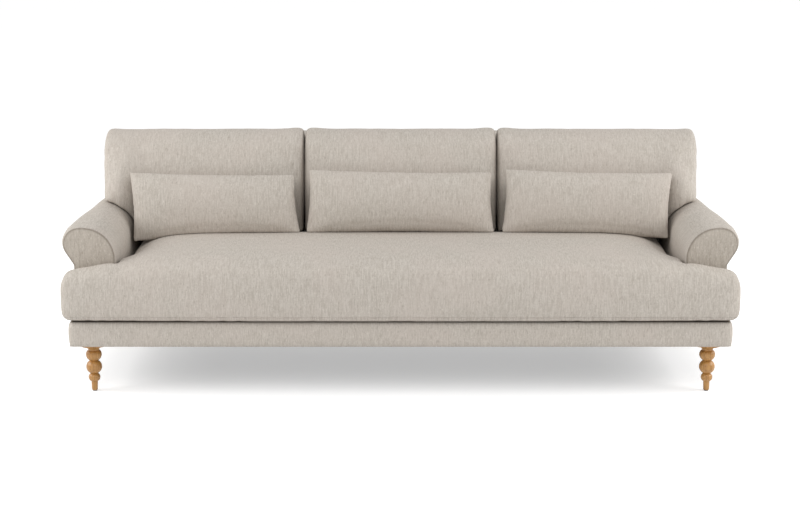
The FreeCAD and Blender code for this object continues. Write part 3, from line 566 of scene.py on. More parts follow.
@dataclass(frozen=True)
class WovenCloth(Finish):
    """Slubbed chenille and linen weave with faint light and dark flecks."""

    name: str = "woven_cloth"
    pale: str = "C7C0B7"
    deep: str = "B2AAA0"
    rosy: str = "C5BAB1"
    fleck: str = "D6D0C7"
    shade: str = "9A9085"
    # Darker colour of seam lines, also used as painted shade in gaps between parts
    stitched: str = "665D52"
    slub: Yarn = Yarn(270, 30, 2.0, 0.0, tone=1.5, relief=0.5)
    thread: Yarn = Yarn(640, 150, 1.0, 7.0, tone=0.9, relief=0.35)
    weft: Yarn = Yarn(90, 520, 1.0, 3.0, tone=0.6, relief=0.35)
    pale_flecks: Yarn = Yarn(330, 90, 0.0, 11.0)
    dark_flecks: Yarn = Yarn(300, 80, 0.0, 17.0)
    fleck_share: float = 0.38
    rosy_share: float = 0.35
    seam_share: float = 0.9
    sheen: float = 0.05

    def woven(self, recipe: Recipe, place: Any, sideways: Signal, yarn: Yarn) -> Signal:
        """Streaks that run down the cloth, on every side of a piece.

        Args:
            recipe: Node tree to fill.
            place: Socket of the piece's own coordinates.
            sideways: 1 where the surface faces along X, else 0.
            yarn: The streaks to draw.

        Returns:
            Value about a half.
        """
        front, side = (
            recipe.streaks(place, scales, yarn.detail, shift=yarn.shift) for scales in
            ((yarn.across, yarn.along, yarn.along), (yarn.along, yarn.across, yarn.along)))
        return front + (side - front) * sideways

    def lay_out(self, recipe: Recipe, place: Any) -> None:
        """Weave the cloth, painted darker by a piece's "seam" attribute: seam lines and painted
        shade.

        Args:
            recipe: Node tree to fill.
            place: Socket of the piece's own coordinates.
        """
        normal = recipe.node("ShaderNodeTexCoord").outputs["Normal"]
        parts = recipe.node("ShaderNodeSeparateXYZ", {"Vector": normal})
        sideways = abs(recipe.signal(parts.outputs[0])).ramp(0.6, 0.85)
        slub, thread, weft, bright, dark = (
            self.woven(recipe, place, sideways, yarn) for yarn in
            (self.slub, self.thread, self.weft, self.pale_flecks, self.dark_flecks))
        tone = ((slub - 0.5) * self.slub.tone + (thread - 0.5) * self.thread.tone
                + (weft - 0.5) * self.weft.tone + 0.5)
        height = (slub * self.slub.relief + thread * self.thread.relief
                  + weft * self.weft.relief)
        patch = recipe.noise(place, 5.0)
        # The "seam" attribute mixes in the darker colour: seam lines, and painted shade under
        # the seat cushion
        seam = recipe.signal(recipe.node("ShaderNodeAttribute",
                                         attribute_name="seam").outputs["Fac"])
        colour = recipe.blend(tone.ramp(0.1, 0.9), paint(self.deep), paint(self.pale))
        for share, code in ((patch.ramp(0.35, 0.7) * self.rosy_share, self.rosy),
                            (bright.ramp(0.66, 0.76) * self.fleck_share, self.fleck),
                            (dark.ramp(0.67, 0.77) * self.fleck_share, self.shade),
                            (seam * self.seam_share, self.stitched)):
            colour = recipe.blend(share, colour, paint(code))
        recipe.shader({
            "Base Color": colour,
            "Roughness": 0.92,
            "Specular IOR Level": 0.25,
            "Sheen Weight": self.sheen,
            "Sheen Roughness": 0.5,
            "Normal": recipe.bump(height, 0.0012, 0.5),
        })


@dataclass(frozen=True)
class LiningCloth(Finish):
    """Plain close weave, for the deck, the cover underneath and the webbing."""

    light: str
    dark: str
    fine: float = 900.0
    coarse: float = 120.0

    def lay_out(self, recipe: Recipe, place: Any) -> None:
        """Weave the lining.

        Args:
            recipe: Node tree to fill.
            place: Socket of the piece's own coordinates.
        """
        fine, coarse = self.fine, self.coarse
        warp = recipe.streaks(place, (fine, coarse, coarse), 1.0)
        weft = recipe.streaks(place, (coarse, fine, fine), 1.0)
        cloud = recipe.noise(place, 6.0, 3.0)
        tone = warp * 0.4 + weft * 0.4 + cloud * 0.3 - 0.05
        recipe.shader({
            "Base Color": recipe.blend(tone.ramp(0.2, 0.8), paint(self.dark), paint(self.light)),
            "Roughness": 0.9,
            "Specular IOR Level": 0.2,
            "Normal": recipe.bump(warp + weft, 0.0005, 0.5),
        })


@dataclass(frozen=True)
class TurnedOak(Finish):
    """Honey oak under satin lacquer, its grain running up the leg."""

    name: str = "turned_oak"
    pale: str = "C49454"
    warm: str = "9C6C32"
    deep: str = "643D17"
    drift_scales: Corner = (30.0, 30.0, 6.0)
    grain_scales: Corner = (260.0, 260.0, 16.0)
    pore_scales: Corner = (1300.0, 1300.0, 60.0)
    lacquer: float = 0.3

    def lay_out(self, recipe: Recipe, place: Any) -> None:
        """Lay the grain, its drift and its pores.

        Args:
            recipe: Node tree to fill.
            place: Socket of the piece's own coordinates.
        """
        drift = recipe.streaks(place, self.drift_scales)
        grain = recipe.streaks(place, self.grain_scales, 3.0, 0.6)
        pores = recipe.streaks(place, self.pore_scales, 1.0)
        colour = recipe.blend(grain.ramp(0.35, 0.7), paint(self.pale), paint(self.warm))
        colour = recipe.blend(drift.ramp(0.4, 0.75) * 0.5, colour, paint(self.warm))
        colour = recipe.blend(pores.ramp(0.62, 0.78) * 0.6, colour, paint(self.deep))
        recipe.shader({
            "Base Color": colour,
            "Roughness": 0.36 + grain * 0.12,
            "Coat Weight": self.lacquer,
            "Coat Roughness": 0.2,
            "Normal": recipe.bump(grain - pores * 0.4, 0.0003, 0.35),
        })


@dataclass(frozen=True)
class SawnWood(Finish):
    """Unfinished frame timber, its grain running across the sofa."""

    name: str = "sawn_wood"
    pale: str = "D8BC8C"
    deep: str = "B48F5C"
    grain_scales: Corner = (6.0, 90.0, 90.0)

    def lay_out(self, recipe: Recipe, place: Any) -> None:
        """Lay the grain.

        Args:
            recipe: Node tree to fill.
            place: Socket of the piece's own coordinates.
        """
        grain = recipe.streaks(place, self.grain_scales, 3.0, 0.6)
        recipe.shader({
            "Base Color": recipe.blend(grain.ramp(0.3, 0.7), paint(self.pale), paint(self.deep)),
            "Roughness": 0.7,
            "Normal": recipe.bump(grain, 0.0004, 0.5),
        })


@dataclass(frozen=True)
class DrawnSteel(Finish):
    """Bright drawn wire and zinc-plated hardware."""

    name: str = "drawn_steel"
    pale: str = "B9BBBE"
    deep: str = "85888C"
    wear_scale: float = 90.0

    def lay_out(self, recipe: Recipe, place: Any) -> None:
        """Lay the wear.

        Args:
            recipe: Node tree to fill.
            place: Socket of the piece's own coordinates.
        """
        wear = recipe.noise(place, self.wear_scale, 3.0)
        recipe.shader({
            "Base Color": recipe.blend(wear.ramp(0.35, 0.7), paint(self.pale), paint(self.deep)),
            "Metallic": 1.0,
            "Roughness": 0.3 + wear * 0.2,
        })


@dataclass(frozen=True)
class GlidePlastic(Finish):
    """Dark moulded plastic with a fine bloom."""

    name: str = "glide_plastic"
    pale: str = "3A3A3A"
    deep: str = "242424"
    bloom_scale: float = 700.0

    def lay_out(self, recipe: Recipe, place: Any) -> None:
        """Lay the bloom.

        Args:
            recipe: Node tree to fill.
            place: Socket of the piece's own coordinates.
        """
        bloom = recipe.noise(place, self.bloom_scale, 1.0)
        recipe.shader({
            "Base Color": recipe.blend(bloom.ramp(0.3, 0.7), paint(self.deep), paint(self.pale)),
            "Roughness": 0.5,
            "Normal": recipe.bump(bloom, 0.0001, 0.4),
        })


@dataclass
class Finishes:
    """The materials that the pieces share."""

    cloth: Material = field(default_factory=WovenCloth().material)
    # Painted shade: a darker copy of the woven cloth, for the arms' facing panels, which show
    # darker than the roll
    facing: Material = field(default_factory=WovenCloth(
        "facing_cloth", pale="BDB5AA", deep="A89F94", rosy="BAAFA4").material)
    deck: Material = field(default_factory=LiningCloth(
        "deck_lining", "C9BFAE", "ADA290").material)
    dust: Material = field(default_factory=LiningCloth(
        "dust_lining", "4A4846", "343230").material)
    webbing: Material = field(default_factory=LiningCloth(
        "jute_webbing", "B79C6C", "8C7448").material)
    oak: Material = field(default_factory=TurnedOak().material)
    timber: Material = field(default_factory=SawnWood().material)
    steel: Material = field(default_factory=DrawnSteel().material)
    plastic: Material = field(default_factory=GlidePlastic().material)


def dress(piece: Piece, material: Material, body: str, nodes: Sequence[str]) -> None:
    """Give a finished piece its material, body and nodes, and report it.

    Args:
        piece: The finished piece.
        material: What it is made of.
        body: Body that it moves with.
        nodes: Nodes that it stands for.
    """
    piece.data.materials.clear()
    piece.data.materials.append(material)
    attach(piece, body)
    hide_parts(*nodes)
    low, high = points(piece).min(0), points(piece).max(0)
    log.info("%s: %d faces, %s to %s", piece.name, len(piece.data.polygons),
             low.round(3).tolist(), high.round(3).tolist())


def upholster(piece: Piece, cloth: Material, body: str, nodes: Sequence[str],
              degrees: float = 80) -> None:
    """Finish a padded piece: shade it smooth and dress it.

    Args:
        piece: The finished shape.
        cloth: Cloth of its cover.
        body: Body that it moves with.
        nodes: Nodes that it stands for.
        degrees: Sharpest edge that is shaded smooth.
    """
    smooth_faces(piece, degrees)
    dress(piece, cloth, body, nodes)


def darken(piece: Piece, shares: np.ndarray) -> None:
    """Paint a piece's cloth darker, from 0 to 1, in its "seam" attribute: seam lines, and
    painted shade.
    """
    seam = piece.data.attributes.new("seam", "FLOAT", "POINT")
    seam.data.foreach_set("value", shares)


# Outline of the arms


@dataclass(frozen=True)
class ArmSection:
    """Section of the right arm: inner face, two bends over the top, and the undercut."""

    inner_bend: float = 0.105
    outer_bend: float = 0.055
    roll_across: float = 1.085
    undercut: float = math.radians(32)
    bend_steps: int = 14
    inner_steps: int = 6
    undercut_steps: int = 3
    outer_steps: int = 4

    def bend(self, middle: Spot, radius: float, start: float, end: float) -> list[Spot]:
        """Points along one bend.

        Args:
            middle: Its centre.
            radius: Its radius.
            start: Angle of its first point.
            end: Angle of its last point.

        Returns:
            Points across and up.
        """
        turns = [start + (end - start) * step / self.bend_steps
                 for step in range(self.bend_steps + 1)]
        return [(middle[0] + radius * math.cos(turn), middle[1] + radius * math.sin(turn))
                for turn in turns]

    def outline(self, inset: float = 0.0) -> list[Spot]:
        """The whole section, from the inner foot over the roll to the outer foot.

        Args:
            inset: Distance that the outline is drawn in.

        Returns:
            Points across and up.
        """
        inner = (HALF_SEAT + self.inner_bend, ARM_TOP - self.inner_bend)
        outer = (self.roll_across, ARM_TOP - self.outer_bend)
        rise = inner[1] - BASE_TOP
        run = [(HALF_SEAT + inset, BASE_TOP + rise * step / self.inner_steps)
               for step in range(self.inner_steps)]
        run += self.bend(inner, self.inner_bend - inset, math.pi, math.pi / 2)
        run += self.bend(outer, self.outer_bend - inset, math.pi / 2, -self.undercut)
        tip = run[-1]
        face = OUTER_FACE - inset
        fall = (tip[0] - face) / math.tan(self.undercut)
        for step in range(1, self.undercut_steps + 1):
            share = step / self.undercut_steps
            run.append((tip[0] + (face - tip[0]) * share, tip[1] - fall * share))
        for step in range(1, self.outer_steps + 1):
            share = step / self.outer_steps
            run.append((face, tip[1] - fall + (BASE_TOP - tip[1] + fall) * share))
        return run

    def gap(self, places: np.ndarray) -> np.ndarray:
        """Distance of points from both arms' outline, seen from the front.

        Args:
            places: Points to measure.

        Returns:
            One distance for each point.
        """
        outline = np.array(self.outline())
        seen = np.stack([np.abs(places[:, 0]), places[:, 2]], axis=1)
        best = np.full(len(places), np.inf)
        for start, end in zip(outline, np.roll(outline, -1, axis=0)):
            run = end - start
            share = ((seen - start) @ run / (run @ run)).clip(0, 1)
            best = np.minimum(best, np.linalg.norm(seen - start - share[:, None] * run, axis=1))
        return best


ARM_SECTION = ArmSection()

# How far the roll's outside lies out from a straight one, by Y, and where that fades

FLARE: tuple[Spot, ...] = (
    (-0.379, 0.0), (-0.345, 0.007), (-0.28, 0.012), (-0.19, 0.008), (-0.05, -0.003),
    (0.128, -0.018), (0.30, -0.029), (0.46, -0.034))
FLARE_ACROSS: Spot = (1.03, 1.10)
FLARE_UP: Spot = (0.40, 0.48)


def flared(places: np.ndarray) -> np.ndarray:
    """Carry the outside of both rolls out near the front and in towards the rear.

    Args:
        places: Points on straight rolls.

    Returns:
        The moved points.
    """
    shift = np.interp(places[:, 1], *zip(*FLARE))
    shift *= eased(np.abs(places[:, 0]), *FLARE_ACROSS) * eased(places[:, 2], *FLARE_UP)
    moved = places.copy()
    moved[:, 0] += np.sign(places[:, 0]) * shift
    return moved


# Sub-assemblies


@dataclass
class Studio:
    """Floor, light and camera."""

    distance: float = 7.0188
    pitch: float = math.radians(11.66)
    look_at: Corner = (-0.0018, 0.0, 0.3994)
    lens: float = 88.36
    sensor: float = 36.0
    farthest: float = 200.0
    floor_half: float = 30.0
    floor_paint: float = 0.95
    floor_glow: float = 0.42
    daylight: float = 0.61
    lamp_aim: Corner = (0.0, 0.0, 0.4)
    key_place: Corner = (-0.4, -5.2, 4.2)
    key_size: Spot = (5.0, 3.0)
    key_power: float = 78.0
    side_place: Corner = (3.4, -0.6, 1.9)
    side_size: Spot = (2.4, 1.6)
    side_power: float = 52.0

    def build(self) -> None:
        """Put up the studio."""
        bpy.context.scene.view_settings.view_transform = "Standard"
        self.floor()
        self.sky()
        self.lamp("key", self.key_place, self.key_size, self.key_power)
        for side in Side:
            place = (side.value * self.side_place[0], *self.side_place[1:])
            self.lamp(f"fill_{side.word}", place, self.side_size, self.side_power)
        self.camera()

    def show(self, recipe: Recipe, output: str, lit: Any, shown: Any) -> None:
        """Light the sofa with one shader and show another.

        Args:
            recipe: Node tree to fill.
            output: Blender's name for the tree's output.
            lit: Shader that lights the sofa.
            shown: Shader that is seen, straight or in gloss or glass.
        """
        path = recipe.node("ShaderNodeLightPath")
        camera, glossy, through = (recipe.signal(path.outputs[name]) for name in
                                   ("Is Camera Ray", "Is Glossy Ray", "Is Transmission Ray"))
        seen = camera.math("MAXIMUM", glossy.math("MAXIMUM", through))
        mixed = recipe.node("ShaderNodeMixShader",
                            {0: seen, 1: lit.outputs[0], 2: shown.outputs[0]})
        recipe.node(output, {"Surface": mixed.outputs[0]})

    def floor(self) -> None:
        """Pale floor that keeps the sofa's shadow."""
        deselect_all()
        bpy.ops.mesh.primitive_plane_add(size=2 * self.floor_half)
        floor = bpy.context.active_object
        floor.name = "floor"
        with editing(floor):
            bpy.ops.mesh.subdivide(number_cuts=3)
        paper = bpy.data.materials.new("floor_white")
        recipe = Recipe(paper)
        shade = recipe.node("ShaderNodeBsdfDiffuse", {"Color": (*[self.floor_paint] * 3, 1)})
        glow = recipe.node("ShaderNodeEmission", {"Strength": self.floor_glow})
        both = recipe.node("ShaderNodeAddShader", {0: shade.outputs[0], 1: glow.outputs[0]})
        self.show(recipe, "ShaderNodeOutputMaterial", shade, both)
        floor.data.materials.append(paper)

    def sky(self) -> None:
        """Even light all round, seen as white."""
        world = bpy.data.worlds.new("studio")
        bpy.context.scene.world = world
        recipe = Recipe(world)
        light, white = (
            recipe.node("ShaderNodeBackground", {"Color": (1, 1, 1, 1), "Strength": strength})
            for strength in (self.daylight, 1.0))
        self.show(recipe, "ShaderNodeOutputWorld", light, white)

    def stand(self, name: str, data: Any, place: Vector, towards: Vector) -> Piece:
        """Put a lamp or the camera in its place.

        Args:
            name: Its name.
            data: The lamp or camera.
            place: Where it stands.
            towards: Direction that it faces.

        Returns:
            Its object.
        """
        holder = bpy.data.objects.new(name, data)
        bpy.context.collection.objects.link(holder)
        turn = towards.to_track_quat("-Z", "Y").to_matrix().to_4x4()
        holder.matrix_world = Matrix.Translation(place) @ turn
        return holder

    def lamp(self, name: str, place: Corner, sides: Spot, power: float) -> None:
        """Wide soft lamp aimed at the sofa.

        Args:
            name: Name of the lamp.
            place: Its middle.
            sides: Its width and height.
            power: Its power in watts.
        """
        data = bpy.data.lights.new(name, "AREA")
        data.shape = "RECTANGLE"
        data.size, data.size_y = sides
        data.energy = power
        self.stand(name, data, Vector(place), Vector(self.lamp_aim) - Vector(place))

    def camera(self) -> None:
        """Camera at the photograph's distance and angle."""
        data = bpy.data.cameras.new("camera")
        data.lens = self.lens
        data.sensor_width = self.sensor
        data.clip_end = self.farthest
        away = Vector((0, -math.cos(self.pitch), math.sin(self.pitch))) * self.distance
        camera = self.stand("camera", data, Vector(self.look_at) + away, -away)
        bpy.context.scene.camera = camera


@dataclass
class Legs:
    """Four turned legs: tapered foot, three balls between necks, cove and flange.

    A spot on the leg's outline is a height and a radius.
    """

    across: float = 1.0445
    front: float = -0.39424
    rear: float = 0.33676
    foot: Spot = (0.003, 0.009)
    toe: Spot = (0.005, 0.0102)
    necks: tuple[Spot, ...] = ((0.033, 0.011), (0.061, 0.012), (0.106, 0.014), (0.143, 0.019))
    balls: tuple[float, ...] = (0.020, 0.027, 0.027)
    flange: Spot = (0.1595, 0.046)
    flange_edge: float = 0.0012
    top: float = 0.1679
    taper_steps: int = 4
    ball_steps: int = 14
    cove_steps: int = 12
    sides: int = 56
    sharpest: float = 32.0

    def profile(self) -> list[Spot]:
        """Outline of the leg from the foot up.

        Returns:
            Heights and radii.
        """
        run = [self.foot, self.toe]
        (low, near), (high, far) = self.toe, self.necks[0]
        for step in range(1, self.taper_steps + 1):
            share = step / self.taper_steps
            run.append((low + (high - low) * share, near + (far - near) * share))
        for (low, near), (high, far), widest in zip(self.necks, self.necks[1:], self.balls):
            swell = widest - (near + far) / 2
            half = (high - low) / 2
            bend = (half ** 2 + swell ** 2) / (2 * swell)
            for step in range(1, self.ball_steps + 1):
                share = step / self.ball_steps
                along = -half + 2 * half * share
                rise = math.sqrt(max(bend ** 2 - along ** 2, 0)) - (bend - swell)
                run.append((low + half + along, near + (far - near) * share + rise))
        (low, near), (high, far) = self.necks[-1], self.flange
        for step in range(1, self.cove_steps + 1):
            turn = math.pi / 2 * step / self.cove_steps
            run.append((low + (high - low) * math.sin(turn),
                        near + (far - near) * (1 - math.cos(turn))))
        run.append((high + self.flange_edge, far))
        run.append((self.top, far))
        return run

    def build(self, finishes: Finishes) -> None:
        """Turn one leg, then copy it to the four corners.

        Args:
            finishes: Shared materials.
        """
        run = self.profile()
        deselect_all()
        bpy.ops.mesh.primitive_circle_add(vertices=self.sides, radius=run[0][1],
                                          fill_type="NGON", location=(0, 0, run[0][0]))
        leg = bpy.context.active_object
        bpy.ops.object.transform_apply(location=True, rotation=True, scale=True)
        with editing(leg):
            for (low, near), (high, far) in zip(run, run[1:]):
                bpy.ops.mesh.extrude_region_move(
                    TRANSFORM_OT_translate={"value": (0, 0, high - low)})
                bpy.ops.transform.resize(value=(far / near, far / near, 1),
                                         center_override=(0, 0, high))
            face_outwards()
        start = points(leg)
        for side in Side:
            for end, along in (("front", self.front), ("rear", self.rear)):
                copy = leg.copy()
                copy.data = leg.data.copy()
                copy.name = copy.data.name = f"turned_leg_{end}_{side.word}"
                bpy.context.collection.objects.link(copy)
                put(copy, start + np.array([side.value * self.across, along, 0.0]))
                smooth_faces(copy, self.sharpest)
                dress(copy, finishes.oak, "frame", [f"leg_{end}_{side.word}"])
        bpy.data.objects.remove(leg)


@dataclass
class BaseBorder:
    """Padded border round the base, one ring with soft edges."""

    wall: float = 0.037
    corner: float = 0.015
    soft: float = 0.008
    cell: float = 0.009
    swell: float = 0.0052
    upper_half: float = 0.23
    lowered: float = 0.0002

    def build(self, finishes: Finishes) -> None:
        """Make the ring, its top and bottom rims rounded.

        Args:
            finishes: Shared materials.
        """
        ring = block("base_border", (-HALF_BASE, BASE_FRONT, BASE_LOW),
                     (HALF_BASE, BASE_REAR, BASE_TOP))
        with editing(ring):
            pick(ring, Element.EDGE,
                 lambda edge: abs(edge.verts[0].co.z - edge.verts[1].co.z) > NEAR)
            bpy.ops.mesh.bevel(offset=self.corner, segments=6, affect="EDGES")
            pick(ring, Element.FACE, lambda face: abs(face.normal.z) > 0.9)
            bpy.ops.mesh.inset(thickness=self.wall)
            bpy.ops.mesh.bridge_edge_loops()
            pick(ring, Element.EDGE, self.on_rim)
            bpy.ops.mesh.bevel(offset=self.soft, segments=4, affect="EDGES")
            face_outwards()
        press(ring, "TRIANGULATE")
        remesh(ring, self.cell)
        self.fill_out(ring)
        relax(ring, 4)
        places = points(ring)
        places[places[:, 2] > self.upper_half, 2] -= self.lowered
        put(ring, places)
        refine(ring)
        # Painted shade: the ring's upward-facing top is painted darker, for the shaded gap under
        # the seat cushion
        darken(ring, eased(outward(ring)[:, 2], 0.75, 0.95))
        upholster(ring, finishes.cloth, "frame",
                  ["border_front", "border_rear", "border_right", "border_left"])

    def on_rim(self, edge: bmesh.types.BMEdge) -> bool:
        """Whether an edge lies on the outer rim, at top or bottom.

        Args:
            edge: Edge of the ring.

        Returns:
            True for an edge of the rim.
        """
        reach = self.corner + NEAR
        spots = [vert.co for vert in edge.verts]
        for spot in spots:
            outside = max(abs(spot.x) - HALF_BASE, BASE_FRONT - spot.y, spot.y - BASE_REAR)
            off_level = min(abs(spot.z - BASE_LOW), abs(spot.z - BASE_TOP))
            if outside + reach < 0 or off_level > NEAR:
                return False
        return abs(spots[0].z - spots[1].z) < NEAR

    def fill_out(self, ring: Piece) -> None:
        """Let the padding swell a little between the rims.

        Args:
            ring: The border.
        """
        places = points(ring)
        up = (places[:, 2] - BASE_LOW) / (BASE_TOP - BASE_LOW)
        swell = self.swell * np.sin(np.pi * up.clip(0, 1)) ** 0.5
        put(ring, places + outward(ring) * swell[:, None])


@dataclass
class Arm:
    """Scrolled arm: padded roll, facing panel, outside panel and rear board."""

    side: Side
    rear_depth: float = 0.0045
    roll_start: float = 0.0098
    roll_proud: float = 0.0008
    roll_cell: float = 0.0052
    ripple: float = 0.0007
    ripple_turns: Spot = (9.0, 23.0)
    facing_front: float = 0.0006
    facing_rear: float = 0.0078
    facing_proud: float = 0.0004
    facing_cell: float = 0.0030
    facing_swell: float = 0.0035
    facing_reach: float = 0.018
    facing_sink: float = 0.0018
    facing_depth: float = 0.006
    seam_line: Spot = (0.002, 0.003)
    seam_shade: float = 0.65
    panel_in: float = 0.004
    panel_out: float = 0.002
    panel_sunk: float = 0.0042
    panel_top: float = 0.437
    panel_rear: float = 0.006
    panel_edge: float = 0.0022
    board: float = 0.022
    board_inset: float = 0.0036
    board_front: float = 0.005
    board_rear: float = 0.0054
    board_foot: float = 0.0006

    def extruded(self, name: str, inset: float, front: float, rear: float | None) -> Piece:
        """The arm's section carried back from one depth.

        Args:
            name: Name of the piece.
            inset: Distance that the outline is drawn in.
            front: Y of the front face.
            rear: Y of the rear face, or None to end on the leaning back.

        Returns:
            Closed piece on the right side.
        """
        outline = ARM_SECTION.outline(inset)
        deselect_all()
        bpy.ops.mesh.primitive_circle_add(vertices=len(outline), radius=0.1,
                                          fill_type="NGON")
        piece = bpy.context.active_object
        piece.name = piece.data.name = name
        put(piece, np.array([(across, front, up) for across, up in outline]))
        with editing(piece):
            bpy.ops.mesh.extrude_region_move(
                TRANSFORM_OT_translate={"value": (0, 2 * NEAR, 0)})
        places = points(piece)
        ends = lean_y(places[:, 2], self.rear_depth) if rear is None else rear
        places[:, 1] = np.where(places[:, 1] > front + NEAR, ends, places[:, 1])
        put(piece, places)
        with editing(piece):
            face_outwards()
        return piece

    def carry_over(self, piece: Piece) -> None:
        """Carry a right-hand piece over to the arm's own side.

        Args:
            piece: Piece on the right side.
        """
        if self.side is Side.LEFT:
            put(piece, points(piece) * (-1, 1, 1))
            with editing(piece):
                bpy.ops.mesh.flip_normals()

    def roll(self) -> Piece:
        """Roll and inner face, in one stretch of cloth over wadding.

        Returns:
            The piece on the right side.
        """
        piece = self.extruded(f"arm_roll_{self.side.word}", -self.roll_proud,
                              ARM_FRONT + self.roll_start, None)
        soften(piece, self.roll_cell, 2)
        places = points(piece)
        wave = self.ripple * np.sin(places[:, :2] @ self.ripple_turns)
        wave *= eased(places[:, 2], *FLARE_UP)
        put(piece, flared(places + outward(piece) * wave[:, None]))
        return piece

    def front_panel(self) -> Piece:
        """Facing panel, drawn tight over its board, its seam a dark line by the rim.

        Returns:
            The piece on the right side.
        """
        piece = self.extruded(f"arm_facing_{self.side.word}", -self.facing_proud,
                              ARM_FRONT - self.facing_front, ARM_FRONT + self.facing_rear)
        soften(piece, self.facing_cell, 3)
        places = points(piece)
        front = ((ARM_FRONT + self.facing_depth - places[:, 1]) / self.facing_depth).clip(0, 1)
        rim = ARM_SECTION.gap(places)
        swell = self.facing_swell * (1 - np.exp(-rim / self.facing_reach)) - self.facing_sink
        places[:, 1] -= front * swell
        put(piece, places)
        darken(piece, self.seam_shade * peak(rim, *self.seam_line))
        return piece

    def outside_panel(self) -> Piece:
        """Flat panel on the outside, under the roll.

        Returns:
            The piece on the right side.
        """
        piece = block(f"arm_side_{self.side.word}",
                      (OUTER_FACE - self.panel_in, ARM_FRONT + self.panel_in,
                       BASE_TOP - self.panel_sunk),
                      (OUTER_FACE + self.panel_out, BASE_REAR, self.panel_top))
        places = points(piece)
        rear = places[:, 1] > 0
        places[rear, 1] = lean_y(places[rear, 2], self.panel_rear)
        put(piece, places)
        press(piece, "BEVEL", width=self.panel_edge, segments=3)
        return piece

    def rear_board(self) -> Piece:
        """Board that closes the roll's rear end, just inside the back panel.

        Returns:
            The piece on the right side.
        """
        piece = self.extruded(f"rear_board_{self.side.word}", self.board_inset, 0.0, None)
        places = points(piece)
        front = places[:, 1] < NEAR
        depths = np.where(front, self.board_front + self.board, self.board_rear)
        places[:, 1] = lean_y(places[:, 2], depths)
        put(piece, places)
        cut_foot(piece, BASE_TOP + self.board_foot)
        put(piece, flared(points(piece)))
        return piece

    def build(self, finishes: Finishes) -> None:
        """Make the arm's pieces.

        Args:
            finishes: Shared materials.
        """
        board = self.rear_board()
        self.carry_over(board)
        dress(board, finishes.timber, "frame",
              [f"arm_rear_board_{self.side.word}"])
        for piece, cloth, nodes in (
            (self.roll(), finishes.cloth, ["arm_cover", "arm_padding"]),
            # The facing takes the darker copy of the cloth, painted shade
            (self.front_panel(), finishes.facing, ["arm_front_panel"]),
            (self.outside_panel(), finishes.cloth, ["arm_outside_panel"]),
        ):
            self.carry_over(piece)
            upholster(piece, cloth, "frame", [f"{node}_{self.side.word}" for node in nodes],
                      60)


@dataclass
class BackRest:
    """Leaning back: padded front with its top, and the outside panel."""

    edge: float = 0.022
    low_top: float = 0.014
    top_fade: Spot = (0.3, 0.45)
    inside_foot: float = -0.02
    inside_rear: float = -0.0045
    cell: float = 0.0065
    foot_gap: float = 0.0004
    split: float = 0.003
    panel_edge: float = 0.0015

    def lean(self, places: np.ndarray) -> np.ndarray:
        """Turn points of an upright back about its foot line.

        Args:
            places: Points whose Y and Z start at the foot line.

        Returns:
            The same points, leaning and in their place.
        """
        back, up = places[:, 1], places[:, 2]
        leaned = places.copy()
        leaned[:, 1] = BACK_FOOT + back * math.cos(RAKE) + up * math.sin(RAKE)
        leaned[:, 2] = BASE_TOP - back * math.sin(RAKE) + up * math.cos(RAKE)
        return leaned

    def is_soft(self, edge: bmesh.types.BMEdge) -> bool:
        """Whether an edge of the upright block is at neither its foot nor its rear."""
        middle = (edge.verts[0].co + edge.verts[1].co) / 2
        return middle.z > 0 and middle.y < -BACK_THICK / 4

    def inside(self) -> Piece:
        """Padded front, with the slope of its top.

        Returns:
            The piece.
        """
        piece = block("back_inside", (-HALF_BACK, -BACK_THICK, self.inside_foot),
                      (HALF_BACK, self.inside_rear, BACK_HIGH))
        with editing(piece):
            pick(piece, Element.EDGE, self.is_soft)
            bpy.ops.mesh.bevel(offset=self.edge, segments=5, affect="EDGES")
        places = points(piece)
        slope = self.low_top * places[:, 1] / BACK_THICK
        places[:, 2] += slope * eased(places[:, 2], *self.top_fade)
        put(piece, self.lean(places))
        cut_foot(piece, BASE_TOP + self.foot_gap)
        soften(piece, self.cell, 2)
        return piece

    def outside(self) -> Piece:
        """Outside panel, which follows the rolls below the arms' top.

        Returns:
            The piece.
        """
        piece = solid_copy("back_outside", "outside_back_panel")
        with editing(piece):
            bpy.ops.mesh.bisect(plane_co=(0, 0, ARM_TOP + self.split), plane_no=(0, 0, 1))
        places = points(piece)
        under = places[:, 2] < ARM_TOP + self.split - NEAR
        places[under] = flared(places[under])
        put(piece, places)
        press(piece, "BEVEL", width=self.panel_edge, segments=2, limit_method="ANGLE",
              angle_limit=math.radians(40))
        return piece

    def build(self, finishes: Finishes) -> None:
        """Make both pieces.

        Args:
            finishes: Shared materials.
        """
        upholster(self.inside(), finishes.cloth, "frame",
                  ["inside_back_cover", "back_padding"], 70)
        upholster(self.outside(), finishes.cloth, "frame", ["outside_back_panel"], 50)


@dataclass(frozen=True)
class PlainTop:
    """Top of the seat cushion's plain core, which the scene's crown takes the place of."""

    edge: float = 0.4200
    rise: float = 0.046
    half: float = 0.965
    shoulder: float = 0.265
    middle: float = -0.036
    reach: float = 0.443
    bend: float = 2.18

    def height(self, places: np.ndarray) -> np.ndarray:
        """Height of the top.

        Args:
            places: Points on or under it.

        Returns:
            Height over each point.
        """
        inward = ((self.half - np.abs(places[:, 0])) / self.shoulder).clip(0, 1)
        depth = ((self.middle - places[:, 1]) / self.reach).clip(0, 1)
        return self.edge + self.rise * np.sqrt(1 - (1 - inward) ** 2) * (1 - depth ** self.bend)


